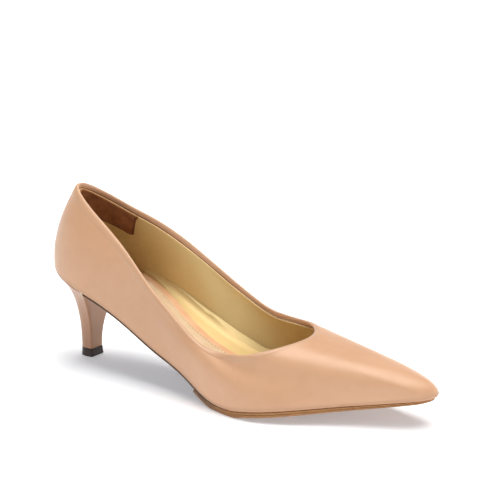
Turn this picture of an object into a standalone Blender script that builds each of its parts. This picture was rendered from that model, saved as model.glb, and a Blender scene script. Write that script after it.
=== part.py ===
"""High heel pump, right foot. Metres, +X from heel to toe, +Y to the inner side of the foot, +Z up.

Every wall is a layer of one form: a skin that rises from the feather edge, where the upper meets
the sole, to the topline. Layers lie at fixed depths under that skin, and under the foot they lie at
fixed heights over the bottom sheet that the feather edge borders.
"""

import math

import bmesh
import bpy
import numpy as np

MM = 0.001

# Feather edge in plan, from the back of the heel seat to the toe tip
LENGTH = 250.0 * MM            # of the last; the finished shoe comes out a little shorter
BACK_SET = 5.7 * MM            # feather edge inside the last's length, behind and in front
TOE_SET = 1.5 * MM
SEAT_HALF_WIDTH = 24.4 * MM
WAIST_HALF_WIDTH = 23.0 * MM
BALL_HALF_WIDTH = 37.3 * MM
TOE_HALF_WIDTH = 18.8 * MM
NOSE_HALF_WIDTH = 7.5 * MM
WAIST_SHIFT = -7.5 * MM        # the forepart swings to the outer side between heel and toe tip
BALL_SHIFT = -9.4 * MM
TOE_SHIFT = -2.8 * MM
BALL_PLACE = 0.645             # widest place as a share of the feather edge's length
SEAT_ROUND = 0.12              # share of that length which rounds off the seat, and the nose
NOSE_ROUND = 0.03

# Height of the feather edge over the ground
SEAT_BACK_HEIGHT = 57.0 * MM
BREAST_DROP = 13.0 * MM        # from the seat's back down to the heel breast
ARCH_DROP = 35.3 * MM          # from the seat's back down to the middle of the waist
SOLE_AT_BALL = 2.9 * MM        # outsole, tread and gaps together
TOE_SPRING = 12.0 * MM         # how much higher the toe tip is than the ball
WAIST_TILT = 1.8 * MM          # the outer side of the waist hangs lower than the inner

# Topline: how far it stands over the bottom sheet, at shares of its own length
TOPLINE_BACK = 14.5 * MM       # its back lies this far ahead of the seat's back
THROAT = 70.0 * MM             # its front lies this far behind the toe tip
TOP_BACK_WALL = 53.0 * MM
TOP_OUTER_WALLS = (50.0 * MM, 39.0 * MM, 29.5 * MM, 27.2 * MM)
TOP_INNER_WALLS = (51.0 * MM, 48.0 * MM, 38.5 * MM, 33.8 * MM)
TOP_THROAT_WALL = 30.6 * MM
TOP_HEEL_HALF_WIDTH = 13.2 * MM
TOP_WAIST_HALF_WIDTH = 27.5 * MM
TOP_FRONT_HALF_WIDTH = 32.0 * MM
TOP_WAIST_SHIFT = -2.7 * MM
TOP_FRONT_SHIFT = -7.6 * MM
TOP_BACK_ROUND = 0.17
TOP_FRONT_ROUND = 0.16

# Layers
LEATHER = 1.2 * MM
STIFFENER = 0.8 * MM
LINING = 0.8 * MM
GRIP = 0.6 * MM
BOARD = 1.8 * MM
FOAM = 1.6 * MM
SOCK = 0.9 * MM
PANEL = 0.7 * MM
OUTSOLE = 1.1 * MM
COVER = 0.8 * MM
GAP = 0.3 * MM                 # glue line left between neighbouring pieces

# Folded and turned edges
FOLD_DEPTH = 6.0 * MM          # how far the topline's folded edge reaches down inside
LINING_STEP = 3.0 * MM         # the lining's cut edge stops this far below the topline
UPPER_MARGIN = 14.0 * MM       # width of the upper turned under the foot
LINING_MARGIN = 12.0 * MM
MARGIN_SHARE = 0.62            # most of the way to the sole's middle that a margin takes
PANEL_INSET = 7.0 * MM         # peach border of the sock round its cream panel
NOSE_MIDDLE = 12.0 * MM        # the toe's columns meet this far behind the tip

# Layers under the foot
BOARD_PLAY = 0.5 * MM          # further clearance of a border than the glue line
SOCK_PLAY = 1.5 * MM
FILLER_PLAY = 0.6 * MM
SOLE_INSET = 0.5 * MM          # the outsole's border from the feather edge, and the tread's
TREAD_INSET = 0.7 * MM
TREAD_FLAT = 0.4 * MM          # what hangs lower than this is pressed flat on the ground
TREAD_BEHIND_BALL = 34.8 * MM
FILLER_BEFORE_SHANK = 9.0 * MM
FILLER_TO_TIP = 25.0 * MM

# Heel
BREAST_PLACE = 0.141           # heel breast as a share of the feather edge's length
LIFT_BACK = 20.0 * MM          # rear of the heel tip from the rearmost bulge of the upper
LIFT_LENGTH = 10.2 * MM
LIFT_HALF_WIDTH = 5.2 * MM
LIFT_FLARE = 0.4 * MM
LIFT_HEIGHT = 5.0 * MM
LIFT_STRAIGHT = 0.42           # share of the heel tip's length with straight sides
HEEL_INSET = 0.4 * MM          # the heel stands in from the feather edge by this much
SHAFT_RISE = 0.62              # share of the heel's height over which its back runs straight
DOWEL_RADIUS = 2.0 * MM
DOWEL_BORE = 1.3 * MM
DOWEL_RISE = 0.56              # share of the heel's height that the dowel reaches
PIN_RADIUS = 1.0 * MM
PIN_RISE = 0.40
PIN_SINK = 0.45                # share of the heel tip's thickness left under the pin
SCREW_RADIUS = 1.5 * MM
NAIL_RADIUS = 0.8 * MM
SCREW_REACH = 18.0 * MM
NAIL_REACH = 13.0 * MM
NAIL_HEAD = 0.6 * MM
HEAD_SHARE = 1.8               # radius of a head over the radius of its shaft
SCREW_BEHIND_BREAST = 11.0 * MM
NAIL_REAR = (14.5 * MM, 6.1 * MM)      # behind the breast, and to each side of the middle
NAIL_FRONT = (7.0 * MM, 7.1 * MM)

# Shank
SHANK_LENGTH = 88.0 * MM
SHANK_HALF_WIDTH = 5.0 * MM
SHANK_THICK = 1.2 * MM
SHANK_LAP = 5.0 * MM           # how far it reaches behind the heel breast
RIVET_RADIUS = 1.6 * MM
RIVET_INSET = 10.5 * MM        # from each end of the shank

# How finely the form is sampled
SIDE_COLUMNS = 26
COLUMNS = 2 * SIDE_COLUMNS
FIRST_ROWS = (4.0 * MM, 8.5 * MM)
WALL_SHARES = (0.22, 0.45, 0.70, 1.0)
SKIN_STEPS = 61
HEEL_ROWS = (0.0, 0.16, 0.32, 0.48, 0.62, 0.75, 0.87, 1.0)
BREAST_POINTS = 3

# Reach of the pieces inside the walls, counted in columns each side of the back or the toe tip
COUNTER_REACH = 8
PUFF_REACH = 8
GRIP_REACH = 7.4
PUFF_TOP = 3.0                 # rows up the wall
GRIP_LOW = 3.6
ROW_GAP = 0.06
COLUMN_GAP = 0.08
BOARD_STOP = 4                 # columns by which a layer under the foot stops short of the tip
FOAM_STOP = 6
SOCK_STOP = 5
PANEL_STOP = 7

SEAT_X = BACK_SET
TIP_X = LENGTH - TOE_SET
RING_LENGTH = TIP_X - SEAT_X
BALL_X = SEAT_X + BALL_PLACE * RING_LENGTH
BREAST_X = SEAT_X + BREAST_PLACE * RING_LENGTH
UPRIGHT = np.eye(3)

COLOURS = {
    "leather": ((0.70, 0.43, 0.26), 0.42, 0.0),
    "lining": ((0.47, 0.31, 0.11), 0.55, 0.0),
    "suede": ((0.13, 0.05, 0.02), 0.95, 0.0),
    "peach": ((0.78, 0.46, 0.28), 0.60, 0.0),
    "cream": ((0.87, 0.65, 0.42), 0.70, 0.0),
    "sole": ((0.12, 0.06, 0.03), 0.50, 0.0),
    "tread": ((0.26, 0.13, 0.06), 0.55, 0.0),
    "lift": ((0.025, 0.015, 0.012), 0.45, 0.0),
    "board": ((0.42, 0.30, 0.18), 0.90, 0.0),
    "stiffener": ((0.75, 0.72, 0.66), 0.85, 0.0),
    "cloth": ((0.80, 0.78, 0.72), 0.95, 0.0),
    "foam": ((0.85, 0.80, 0.62), 0.95, 0.0),
    "cork": ((0.33, 0.20, 0.10), 0.95, 0.0),
    "plastic": ((0.62, 0.58, 0.50), 0.45, 0.0),
    "steel": ((0.56, 0.56, 0.58), 0.30, 1.0),
}


def eased(keys, values):
    """A curve through the points that never overshoots between two of them."""
    keys = np.asarray(keys, float)
    values = np.asarray(values, float)
    steps = np.diff(keys)
    slopes = np.diff(values) / steps
    tangents = np.zeros(len(keys))
    for i in range(1, len(keys) - 1):
        before, after = slopes[i - 1], slopes[i]
        if before * after > 0:
            first = 2 * steps[i] + steps[i - 1]
            second = steps[i] + 2 * steps[i - 1]
            tangents[i] = (first + second) / (first / before + second / after)
    tangents[0] = slopes[0]
    tangents[-1] = slopes[-1]

    def at(place):
        place = np.clip(np.asarray(place, float), keys[0], keys[-1])
        i = np.clip(np.searchsorted(keys, place) - 1, 0, len(steps) - 1)
        t = (place - keys[i]) / steps[i]
        rise = t * t * (3 - 2 * t)
        out = t * (1 - t) ** 2 * steps[i] * tangents[i]
        back = t * t * (t - 1) * steps[i] * tangents[i + 1]
        return values[i] + (values[i + 1] - values[i]) * rise + out + back

    return at


def rounded_end(share, radius):
    """Grows from 0 to 1 along a quarter circle over the given radius."""
    t = np.clip(share / radius, 0, 1)
    return np.sqrt(np.maximum(1 - (1 - t) ** 2, 0))


# Curves of the form, over the share of the feather edge's or the topline's length
half_width_curve = eased(
    (0, 0.20, 0.42, BALL_PLACE, 0.87, 1),
    (SEAT_HALF_WIDTH, SEAT_HALF_WIDTH * 1.02, WAIST_HALF_WIDTH, BALL_HALF_WIDTH,
     TOE_HALF_WIDTH, NOSE_HALF_WIDTH),
)
centre_curve = eased(
    (0, 0.15, 0.42, BALL_PLACE, 0.87, 1),
    (0, 0, WAIST_SHIFT, BALL_SHIFT, TOE_SHIFT, 0),
)
height_curve = eased(
    (0, 0.152, 0.285, 0.39, 0.475, 0.53, 0.565, 0.605, 0.66, 0.77, 0.88, 1),
    (SEAT_BACK_HEIGHT,
     SEAT_BACK_HEIGHT - BREAST_DROP,
     SEAT_BACK_HEIGHT - 0.66 * ARCH_DROP,
     SEAT_BACK_HEIGHT - ARCH_DROP,
     SOLE_AT_BALL + 0.14 * (SEAT_BACK_HEIGHT - SOLE_AT_BALL),
     SOLE_AT_BALL + 0.022 * (SEAT_BACK_HEIGHT - SOLE_AT_BALL),
     SOLE_AT_BALL,
     SOLE_AT_BALL,
     SOLE_AT_BALL + 0.15 * TOE_SPRING,
     SOLE_AT_BALL + 0.42 * TOE_SPRING,
     SOLE_AT_BALL + 0.68 * TOE_SPRING,
     SOLE_AT_BALL + TOE_SPRING),
)
top_half_width_curve = eased(
    (0, 0.15, 0.5, 0.8, 1),
    (TOP_HEEL_HALF_WIDTH, TOP_HEEL_HALF_WIDTH, TOP_WAIST_HALF_WIDTH, TOP_FRONT_HALF_WIDTH,
     0.85 * TOP_FRONT_HALF_WIDTH),
)
top_centre_curve = eased((0, 0.15, 0.5, 1), (0, 0, TOP_WAIST_SHIFT, TOP_FRONT_SHIFT))
top_outer_curve = eased(
    (0, 0.07, 0.25, 0.5, 0.8, 1), (TOP_BACK_WALL, *TOP_OUTER_WALLS, TOP_THROAT_WALL)
)
top_inner_curve = eased(
    (0, 0.07, 0.25, 0.5, 0.8, 1), (TOP_BACK_WALL, *TOP_INNER_WALLS, TOP_THROAT_WALL)
)

# Handles of the skin from feather edge to topline, over the way round from back to toe
AROUND = (0, 0.15, 0.40, 0.65, 0.85, 1)
low_share = eased(AROUND, (0.33, 0.33, 0.33, 0.20, 0.06, 0.03))
low_out = eased(AROUND, tuple(v * MM for v in (6.5, 6.0, 4.0, 3.2, 2.9, 2.9)))
low_up = eased(AROUND, tuple(v * MM for v in (0.1, 0.5, 0.0, 5.7, 8.5, 11.4)))
high_out = eased(AROUND, tuple(v * MM for v in (6.0, 5.3, 4.0, 4.6, 1.5, 0.1)))
high_up = eased(AROUND, tuple(v * MM for v in (-0.3, 0.0, 1.6, -0.8, 4.0, 0.3)))


def side_of(around):
    """-1 on the outer side of the foot, +1 on the inner, and the way from back to toe as 0 to 1."""
    around = around % 2.0
    return (-1.0, around) if around <= 1.0 else (1.0, 2.0 - around)


def share_of(x):
    return np.clip((x - SEAT_X) / RING_LENGTH, 0, 1)


def sheet_height(x, y):
    share = share_of(x)
    tilt = WAIST_TILT * np.exp(-(((x / LENGTH) - 0.36) / 0.11) ** 2)
    across = np.clip((y - centre_curve(share)) / half_width_curve(share), -1, 1)
    return height_curve(share) + tilt * (across - 1)


def on_sheet(x, y, lift=0.0):
    """The point of the bottom sheet under the foot at x, y, moved along the sheet's normal."""
    reach = 0.5 * MM
    slope_x = (sheet_height(x + reach, y) - sheet_height(x - reach, y)) / (2 * reach)
    slope_y = (sheet_height(x, y + reach) - sheet_height(x, y - reach)) / (2 * reach)
    normal = np.array([-slope_x, -slope_y, 1.0])
    normal /= np.linalg.norm(normal)
    return np.array([x, y, float(sheet_height(x, y))]) + lift * normal


def feather(around):
    side, way = side_of(around)
    share = (1 - math.cos(math.pi * way)) / 2
    width = half_width_curve(share) * rounded_end(share, SEAT_ROUND)
    width = width * rounded_end(1 - share, NOSE_ROUND)
    x = SEAT_X + RING_LENGTH * share
    y = float(centre_curve(share) + side * width)
    return np.array([x, y, float(sheet_height(x, y))])


def topline(around):
    side, way = side_of(around)
    share = (1 - math.cos(math.pi * way)) / 2
    back_x = SEAT_X + TOPLINE_BACK
    front_x = TIP_X - THROAT
    x = back_x + (front_x - back_x) * share
    width = top_half_width_curve(share) * rounded_end(share, TOP_BACK_ROUND)
    width = width * rounded_end(1 - share, TOP_FRONT_ROUND)
    y = float(top_centre_curve(share) + side * width)
    wall = top_outer_curve(share) if side < 0 else top_inner_curve(share)
    return np.array([x, y, float(height_curve(share_of(x)) + wall)])


def outward(around):
    """The level direction that points away from the foot at the feather edge."""
    reach = 0.002
    along = feather(around + reach) - feather(around - reach)
    along[2] = 0
    away = np.array([along[1], -along[0], 0.0])
    return away / np.linalg.norm(away)


def skin(around, rises):
    """Points of the outer skin in one column, at rises from 0 at the feather edge to 1."""
    way = side_of(around)[1]
    foot, top = feather(around), topline(around)
    away = outward(around)
    up = np.array([0.0, 0.0, 1.0])
    low = foot + (top - foot) * low_share(way) + away * low_out(way) + up * low_up(way)
    high = foot + (top - foot) * 0.667 + away * high_out(way) + up * high_up(way)
    t = np.asarray(rises, float)[:, None]
    return (
        foot * (1 - t) ** 3
        + 3 * low * t * (1 - t) ** 2
        + 3 * high * t**2 * (1 - t)
        + top * t**3
    )


def seat_middle(around):
    """Where a column heads for as it turns under the foot: the middle of the sole beside it."""
    x = feather(around)[0]
    x = min(max(x, SEAT_X + SEAT_ROUND * RING_LENGTH), TIP_X - NOSE_MIDDLE)
    return np.array([x, float(centre_curve(share_of(x)))])


def under_foot(around, inset, lift):
    """A point this far in from the feather edge, this high over the bottom sheet."""
    foot = feather(around)[:2]
    reach = seat_middle(around) - foot
    length = float(np.linalg.norm(reach))
    x, y = foot + reach * min(inset / length, 0.75)
    return on_sheet(x, y, lift)


def margin_inset(around, width):
    foot = feather(around)[:2]
    return min(width, MARGIN_SHARE * float(np.linalg.norm(seat_middle(around) - foot)))


class Column:
    """One column of the skin, sampled once and then offset for every layer."""

    def __init__(self, around):
        self.around = around
        rises = np.linspace(0, 1, SKIN_STEPS)
        points = skin(around, rises)
        lengths = np.linalg.norm(np.diff(points, axis=0), axis=1)
        run = np.concatenate([[0], np.cumsum(lengths)])
        self.length = float(run[-1])
        full = self.length - FOLD_DEPTH
        last_first = FIRST_ROWS[-1]
        places = [*FIRST_ROWS]
        places += [last_first + share * (full - last_first) for share in WALL_SHARES]
        places += [self.length - LINING_STEP, self.length - 0.6 * MM, self.length]
        at = np.interp(places, run, rises)
        self.points = skin(around, at)
        reach = 0.003
        beside = skin(around + reach, at) - skin(around - reach, at)
        climb = skin(around, np.minimum(at + 0.01, 1)) - skin(around, np.maximum(at - 0.01, 0))
        normals = np.cross(beside, climb)
        normals /= np.linalg.norm(normals, axis=1, keepdims=True)
        self.normals = normals

    def wall(self, row, depth):
        """The point of a row at this depth under the skin."""
        return self.points[row] - depth * self.normals[row]


COLUMN = [Column(2.0 * i / COLUMNS) for i in range(COLUMNS)]
WALL_TOP = len(FIRST_ROWS) + len(WALL_SHARES) - 1     # row at the lower end of the folded edge
STEP_ROW = WALL_TOP + 1                               # row at the lining's cut edge
EDGE_ROW = WALL_TOP + 2                               # row just under the rounded topline
CREST_ROW = WALL_TOP + 3

FOLDED = LEATHER + GAP + STIFFENER                    # wall thickness where the topline is folded
STIFF_OUT = LEATHER + GAP
STIFF_IN = STIFF_OUT + STIFFENER
LINING_OUT = STIFF_IN + GAP
LINING_IN = LINING_OUT + LINING
MARGIN_TOP = LEATHER
LINING_LOW = MARGIN_TOP + GAP
LINING_HIGH = LINING_LOW + LINING
BOARD_LOW = LINING_HIGH + GAP
BOARD_HIGH = BOARD_LOW + BOARD
FOAM_LOW = BOARD_HIGH + GAP
FOAM_HIGH = FOAM_LOW + FOAM
SOCK_LOW = FOAM_HIGH + GAP
SOCK_HIGH = SOCK_LOW + SOCK
PANEL_LOW = SOCK_HIGH + GAP
PANEL_HIGH = PANEL_LOW + PANEL


def clear_scene():
    for obj in list(bpy.data.objects):
        bpy.data.objects.remove(obj, do_unlink=True)


def material(name):
    found = bpy.data.materials.get(name)
    if found:
        return found
    colour, roughness, metallic = COLOURS[name]
    made = bpy.data.materials.new(name)
    made.use_nodes = True
    shader = made.node_tree.nodes["Principled BSDF"]
    shader.inputs["Base Color"].default_value = (*colour, 1.0)
    shader.inputs["Roughness"].default_value = roughness
    shader.inputs["Metallic"].default_value = metallic
    made.diffuse_color = (*colour, 1.0)
    return made


def add_object(name, points, faces, look, helper=False):
    mesh = bpy.data.meshes.new(name)
    mesh.from_pydata([tuple(map(float, p)) for p in points], [], faces)
    box = bmesh.new()
    box.from_mesh(mesh)
    bmesh.ops.recalc_face_normals(box, faces=box.faces[:])
    if box.calc_volume(signed=True) < 0:
        bmesh.ops.reverse_faces(box, faces=box.faces[:])
    box.to_mesh(mesh)
    box.free()
    obj = bpy.data.objects.new(name, mesh)
    bpy.context.scene.collection.objects.link(obj)
    if helper:
        obj.hide_render = True
        obj.display_type = "WIRE"
    else:
        mesh.materials.append(material(look))
    return obj


def split(a, b, c, d):
    """Two triangles for one four-sided cell, always cut along the same diagonal."""
    return [(a, b, c), (a, c, d)]


def ring_solid(name, profile, turn, look):
    """A band that runs once round the shoe: the same closed outline in every column.

    Past the point numbered turn the outline comes back down, and its cells are cut along the other
    diagonal, so that both faces of the band bend along the same lines.
    """
    outlines = [profile(column) for column in COLUMN]
    size = len(outlines[0])
    points = [p for outline in outlines for p in outline]
    faces = []
    for i in range(COLUMNS):
        j = (i + 1) % COLUMNS
        for k in range(size):
            m = (k + 1) % size
            cell = (i * size + k, j * size + k, j * size + m, i * size + m)
            faces += split(*cell) if k < turn else split(*cell[1:], cell[0])
    return add_object(name, points, faces, look)


def wall_at(column, row, depth):
    """A wall point at fractional column and row, on the flat cells between whole ones."""
    low_row = int(math.floor(row))
    part = row - low_row
    low = int(math.floor(column))
    share = column - low

    def one(index):
        here = COLUMN[index % COLUMNS]
        if part < 1e-9:
            return here.wall(low_row, depth)
        return (1 - part) * here.wall(low_row, depth) + part * here.wall(low_row + 1, depth)

    return one(low) if share < 1e-9 else (1 - share) * one(low) + share * one(low + 1)


def wall_patch(name, columns, rows, depths, look, present=None):
    """A piece of one layer, over the cells between these columns and rows that are present."""
    wide, high = len(columns), len(rows)
    points = []
    for depth in depths:
        points += [wall_at(c, r, depth) for c in columns for r in rows]
    inner = wide * high
    cells = {
        (i, k)
        for i in range(wide - 1)
        for k in range(high - 1)
        if present is None or present(i, k)
    }
    faces = []
    for i, k in sorted(cells):
        a = i * high + k
        b = (i + 1) * high + k
        faces += split(a, b, b + 1, a + 1)
        faces += [tuple(inner + v for v in face[::-1]) for face in split(a, b, b + 1, a + 1)]
        sides = (
            ((i, k - 1), a, b),
            ((i + 1, k), b, b + 1),
            ((i, k + 1), b + 1, a + 1),
            ((i - 1, k), a + 1, a),
        )
        for beside, p, q in sides:
            if beside not in cells:
                faces += split(q, p, inner + p, inner + q)
    used = sorted({v for face in faces for v in face})
    place = {v: n for n, v in enumerate(used)}
    kept = [tuple(place[v] for v in face) for face in faces]
    return add_object(name, [points[v] for v in used], kept, look)


def upper_profile(column):
    around = column.around
    inset = margin_inset(around, UPPER_MARGIN)
    outline = [feather(around)]
    outline += [column.wall(row, 0) for row in range(EDGE_ROW + 1)]
    outline.append(column.wall(CREST_ROW, FOLDED / 2))
    outline.append(column.wall(EDGE_ROW, FOLDED))
    outline.append(column.wall(WALL_TOP, FOLDED))
    outline += [column.wall(row, LEATHER) for row in range(WALL_TOP, -1, -1)]
    outline.append(under_foot(around, LEATHER, MARGIN_TOP))
    outline.append(under_foot(around, inset, MARGIN_TOP))
    outline.append(under_foot(around, inset, 0))
    return outline


def lining_profile(column):
    around = column.around
    inset = margin_inset(around, LINING_MARGIN)
    outline = [under_foot(around, LINING_OUT, LINING_LOW)]
    outline += [column.wall(row, LINING_OUT) for row in range(STEP_ROW + 1)]
    outline += [column.wall(row, LINING_IN) for row in range(STEP_ROW, -1, -1)]
    outline.append(under_foot(around, LINING_IN, LINING_HIGH))
    outline.append(under_foot(around, inset, LINING_HIGH))
    outline.append(under_foot(around, inset, LINING_LOW))
    return outline


def room_inset(column, low, high):
    """How far in from the feather edge a flat layer must stop to clear the lining beside it."""
    foot = feather(column.around)[:2]
    toward = seat_middle(column.around) - foot
    toward /= np.linalg.norm(toward)
    depth = LINING_IN + GAP
    line = [under_foot(column.around, depth, BOARD_LOW)]
    line += [column.wall(row, depth) for row in range(WALL_TOP + 1)]
    if abs(toward[0]) > 0.01:
        insets = [float((p[:2] - foot) @ toward) for p in line]
    else:
        side = side_of(column.around)[0]
        borders = [feather(way_of(p[0]) if side < 0 else 2.0 - way_of(p[0])) for p in line]
        insets = [float((p[:2] - border[:2]) @ toward) for p, border in zip(line, borders)]
    heights = [float(p[2] - sheet_height(p[0], p[1])) for p in line]
    run = np.linspace(0, len(line) - 1, 20 * len(line))
    inset = np.interp(run, range(len(line)), insets)
    height = np.interp(run, range(len(line)), heights)
    beside = inset[(height > low - GAP) & (height < high + GAP)]
    return float(beside.max()) if len(beside) else float(insets[0])


def plate(name, ways, inset_of, low, high, look, across=3):
    """A layer under the foot, from one way along the feather edge to another.

    inset_of(column) gives how far in from the feather edge its border runs. A first or last way
    of 0 or 1 closes in one point on the centre line.
    """
    lines = []
    for way in ways:
        outer = Column(way)
        if way in (0.0, 1.0):
            lines.append([under_foot(way, inset_of(outer), 0)[:2]])
            continue
        inner = Column(2.0 - way)
        first = under_foot(way, inset_of(outer), 0)[:2]
        last = under_foot(2.0 - way, inset_of(inner), 0)[:2]
        steps = np.linspace(0, 1, across + 2)
        lines.append([first + (last - first) * t for t in steps])
    points, index = [], []
    for lift in (high, low):
        rows = []
        for line in lines:
            rows.append([])
            for x, y in line:
                rows[-1].append(len(points))
                points.append(on_sheet(x, y, lift))
        index.append(rows)
    faces = []
    for level, rows in enumerate(index):
        found = []
        for first, second in zip(rows, rows[1:]):
            if len(first) == 1:
                found += [(first[0], b, a) for a, b in zip(second, second[1:])]
            elif len(second) == 1:
                found += [(second[0], a, b) for a, b in zip(first, first[1:])]
            else:
                for k in range(len(first) - 1):
                    found += split(first[k], second[k], second[k + 1], first[k + 1])
        faces += found if level == 0 else [face[::-1] for face in found]
    upper, lower = index
    border_top = [row[0] for row in upper] + [row[-1] for row in reversed(upper)]
    border_low = [row[0] for row in lower] + [row[-1] for row in reversed(lower)]
    top_loop, low_loop = [], []
    for a, b in zip(border_top, border_low):
        if not top_loop or top_loop[-1] != a:
            top_loop.append(a)
            low_loop.append(b)
    if top_loop[0] == top_loop[-1]:
        top_loop.pop()
        low_loop.pop()
    for rows, loop in ((upper, top_loop), (lower, low_loop)):
        if len(rows[-1]) > 1:
            at = loop.index(rows[-1][0]) + 1
            loop[at:at] = rows[-1][1:-1]
        if len(rows[0]) > 1:
            loop += rows[0][-2:0:-1]
    for k in range(len(top_loop)):
        m = (k + 1) % len(top_loop)
        faces += split(top_loop[k], low_loop[k], low_loop[m], top_loop[m])
    return add_object(name, points, faces, look)


def column_ways(first, last):
    """The ways of the whole columns strictly between two ways, with the two ways at the ends."""
    between = [i / SIDE_COLUMNS for i in range(SIDE_COLUMNS + 1)]
    return [first, *[w for w in between if first + 0.008 < w < last - 0.008], last]


def way_of(x):
    """The way along the feather edge at which it has reached x."""
    return math.acos(1 - 2 * float(share_of(x))) / math.pi


def whole_column(way):
    """The nearest way at which a column stands, so that layers bend over the same lines."""
    return round(way * SIDE_COLUMNS) / SIDE_COLUMNS


def seat_stand(x, y):
    """A place on the bottom sheet, and the three directions of a piece that stands square to it."""
    origin = on_sheet(x, y)
    up = on_sheet(x, y, 1.0) - origin
    along = np.cross([0.0, 1.0, 0.0], up)
    along /= np.linalg.norm(along)
    return origin, np.array([along, np.cross(up, along), up])


def tube(name, stand, bottom, top, outer, inner, look, sides=16, helper=False):
    """A round bar, or a tube when inner is over 0, along its stand's upright."""
    origin, axes = stand
    points, faces = [], []
    turns = [2 * math.pi * i / sides for i in range(sides)]
    for radius in (outer, inner) if inner else (outer,):
        for z in (bottom, top):
            points += [
                origin + np.array([radius * math.cos(t), radius * math.sin(t), z]) @ axes
                for t in turns
            ]
    for i in range(sides):
        j = (i + 1) % sides
        faces += split(i, j, sides + j, sides + i)
        if inner:
            faces += split(2 * sides + j, 2 * sides + i, 3 * sides + i, 3 * sides + j)
            faces += split(sides + i, sides + j, 3 * sides + j, 3 * sides + i)
            faces += split(j, i, 2 * sides + i, 2 * sides + j)
    if not inner:
        faces.append(tuple(range(sides))[::-1])
        faces.append(tuple(range(sides, 2 * sides)))
    return add_object(name, points, faces, look, helper)


def fastener(name, stand, tip, radius, look, sides=12):
    """A headed nail, screw or rivet along its stand's upright, as one turned outline."""
    origin, axes = stand
    head = HEAD_SHARE * radius
    outline = (
        (0.35 * radius, tip),
        (radius, tip + min(2 * radius, 0.6 * (HEAD_LOW - tip))),
        (radius, HEAD_LOW),
        (head, HEAD_LOW),
        (0.8 * head, HEAD_HIGH),
    )
    points, faces = [], []
    turns = [2 * math.pi * i / sides for i in range(sides)]
    for r, z in outline:
        points += [origin + np.array([r * math.cos(t), r * math.sin(t), z]) @ axes for t in turns]
    for k in range(len(outline) - 1):
        for i in range(sides):
            j = (i + 1) % sides
            low, high = k * sides, (k + 1) * sides
            faces += split(low + i, low + j, high + j, high + i)
    faces.append(tuple(range(sides))[::-1])
    last = (len(outline) - 1) * sides
    faces.append(tuple(range(last, last + sides)))
    return add_object(name, points, faces, look)


def cut(target, cutter):
    step = target.modifiers.new("cut_" + cutter.name, "BOOLEAN")
    step.operation = "DIFFERENCE"
    step.solver = "EXACT"
    step.object = cutter


def heel_sections(inset, rows, seat_drop, foot_height):
    """Closed outlines of the heel from its tip to the seat, all with the same number of points.

    Each starts at the outer breast corner, goes round the back and returns across the breast.
    """
    ends = [BREAST_WAY, *[k / SIDE_COLUMNS for k in range(HEEL_SIDE - 1, -1, -1)]]
    arounds = ends + [2.0 - w for w in reversed(ends[:-1])]
    seat = [under_foot(a % 2.0, HEEL_INSET, -seat_drop) for a in arounds]
    first, last = seat[0], seat[-1]
    for k in range(1, BREAST_POINTS + 1):
        x, y = last[:2] + (first[:2] - last[:2]) * k / (BREAST_POINTS + 1)
        seat.append(on_sheet(x, y, -seat_drop))
    lift = lift_outline(0.0)
    middle = np.array([LIFT_BACK + LIFT_LENGTH / 2, 0.0])
    curves = []
    for n, (top, foot) in enumerate(zip(seat, lift)):
        foot = np.array([*foot, foot_height])
        height = float(top[2] - foot[2])
        inward = middle - top[:2]
        reach = float(np.linalg.norm(inward))
        inward = inward / reach
        on_breast = n > 2 * HEEL_SIDE or n in (0, 2 * HEEL_SIDE)
        spread = (0.24 if on_breast else 0.30) * reach
        drop = (0.14 if on_breast else 0.13) * height
        near_top = np.array([*(top[:2] + inward * spread), top[2] - drop])
        near_foot = foot + np.array([0.0, 0.0, SHAFT_RISE * height])
        curves.append((top, near_top, near_foot, foot))
    sections = []
    for t in rows:
        loop = [
            foot * (1 - t) ** 3
            + 3 * near_foot * t * (1 - t) ** 2
            + 3 * near_top * t**2 * (1 - t)
            + top * t**3
            for top, near_top, near_foot, foot in curves
        ]
        loop = inset_loop(loop, inset)
        if t == 1.0:
            loop = [on_sheet(p[0], p[1], -seat_drop) for p in loop]
        sections.append(loop)
    return sections


def inset_loop(loop, inset):
    """The outline moved in level by this much, square to each of its sides."""
    if not inset:
        return loop
    flat = np.array([p[:2] for p in loop])
    area = 0.5 * float(
        np.sum(flat[:, 0] * np.roll(flat[:, 1], -1) - np.roll(flat[:, 0], -1) * flat[:, 1])
    )
    turn = 1.0 if area > 0 else -1.0
    moved = []
    for i, point in enumerate(loop):
        before = flat[i] - flat[i - 1]
        after = flat[(i + 1) % len(flat)] - flat[i]
        before /= np.linalg.norm(before)
        after /= np.linalg.norm(after)
        first = turn * np.array([-before[1], before[0]])
        second = turn * np.array([-after[1], after[0]])
        both = first + second
        both /= max(float(both @ first), 0.3)
        moved.append(np.array([*(flat[i] + inset * both), point[2]]))
    return moved


def lift_outline(grow):
    """The heel tip in plan: flat breast in front, rounded back."""
    back = LIFT_BACK - grow
    front = LIFT_BACK + LIFT_LENGTH + grow
    half = LIFT_HALF_WIDTH + grow
    straight = LIFT_STRAIGHT * LIFT_LENGTH
    outline = []
    for k in range(HEEL_SIDE + 1):
        t = k / HEEL_SIDE
        if t < 0.25:
            outline.append((front - straight * t / 0.25 * 0.9, -half))
        else:
            angle = (t - 0.25) / 0.75 * math.pi / 2
            depth = front - straight - back
            outline.append(
                (front - straight - depth * math.sin(angle), -half * math.cos(angle))
            )
    outline += [(x, -y) for x, y in reversed(outline[:-1])]
    for k in range(1, BREAST_POINTS + 1):
        outline.append((front, half - 2 * half * k / (BREAST_POINTS + 1)))
    return [np.array(p) for p in outline]


def cap_lines(count):
    """Rows of point numbers that pair the two sides of a heel outline, from breast to back."""
    rows = [[0, *range(count - 1, 2 * HEEL_SIDE, -1), 2 * HEEL_SIDE]]
    for k in range(1, HEEL_SIDE):
        rows.append([k, 2 * HEEL_SIDE - k])
    rows.append([HEEL_SIDE])
    return rows


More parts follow.
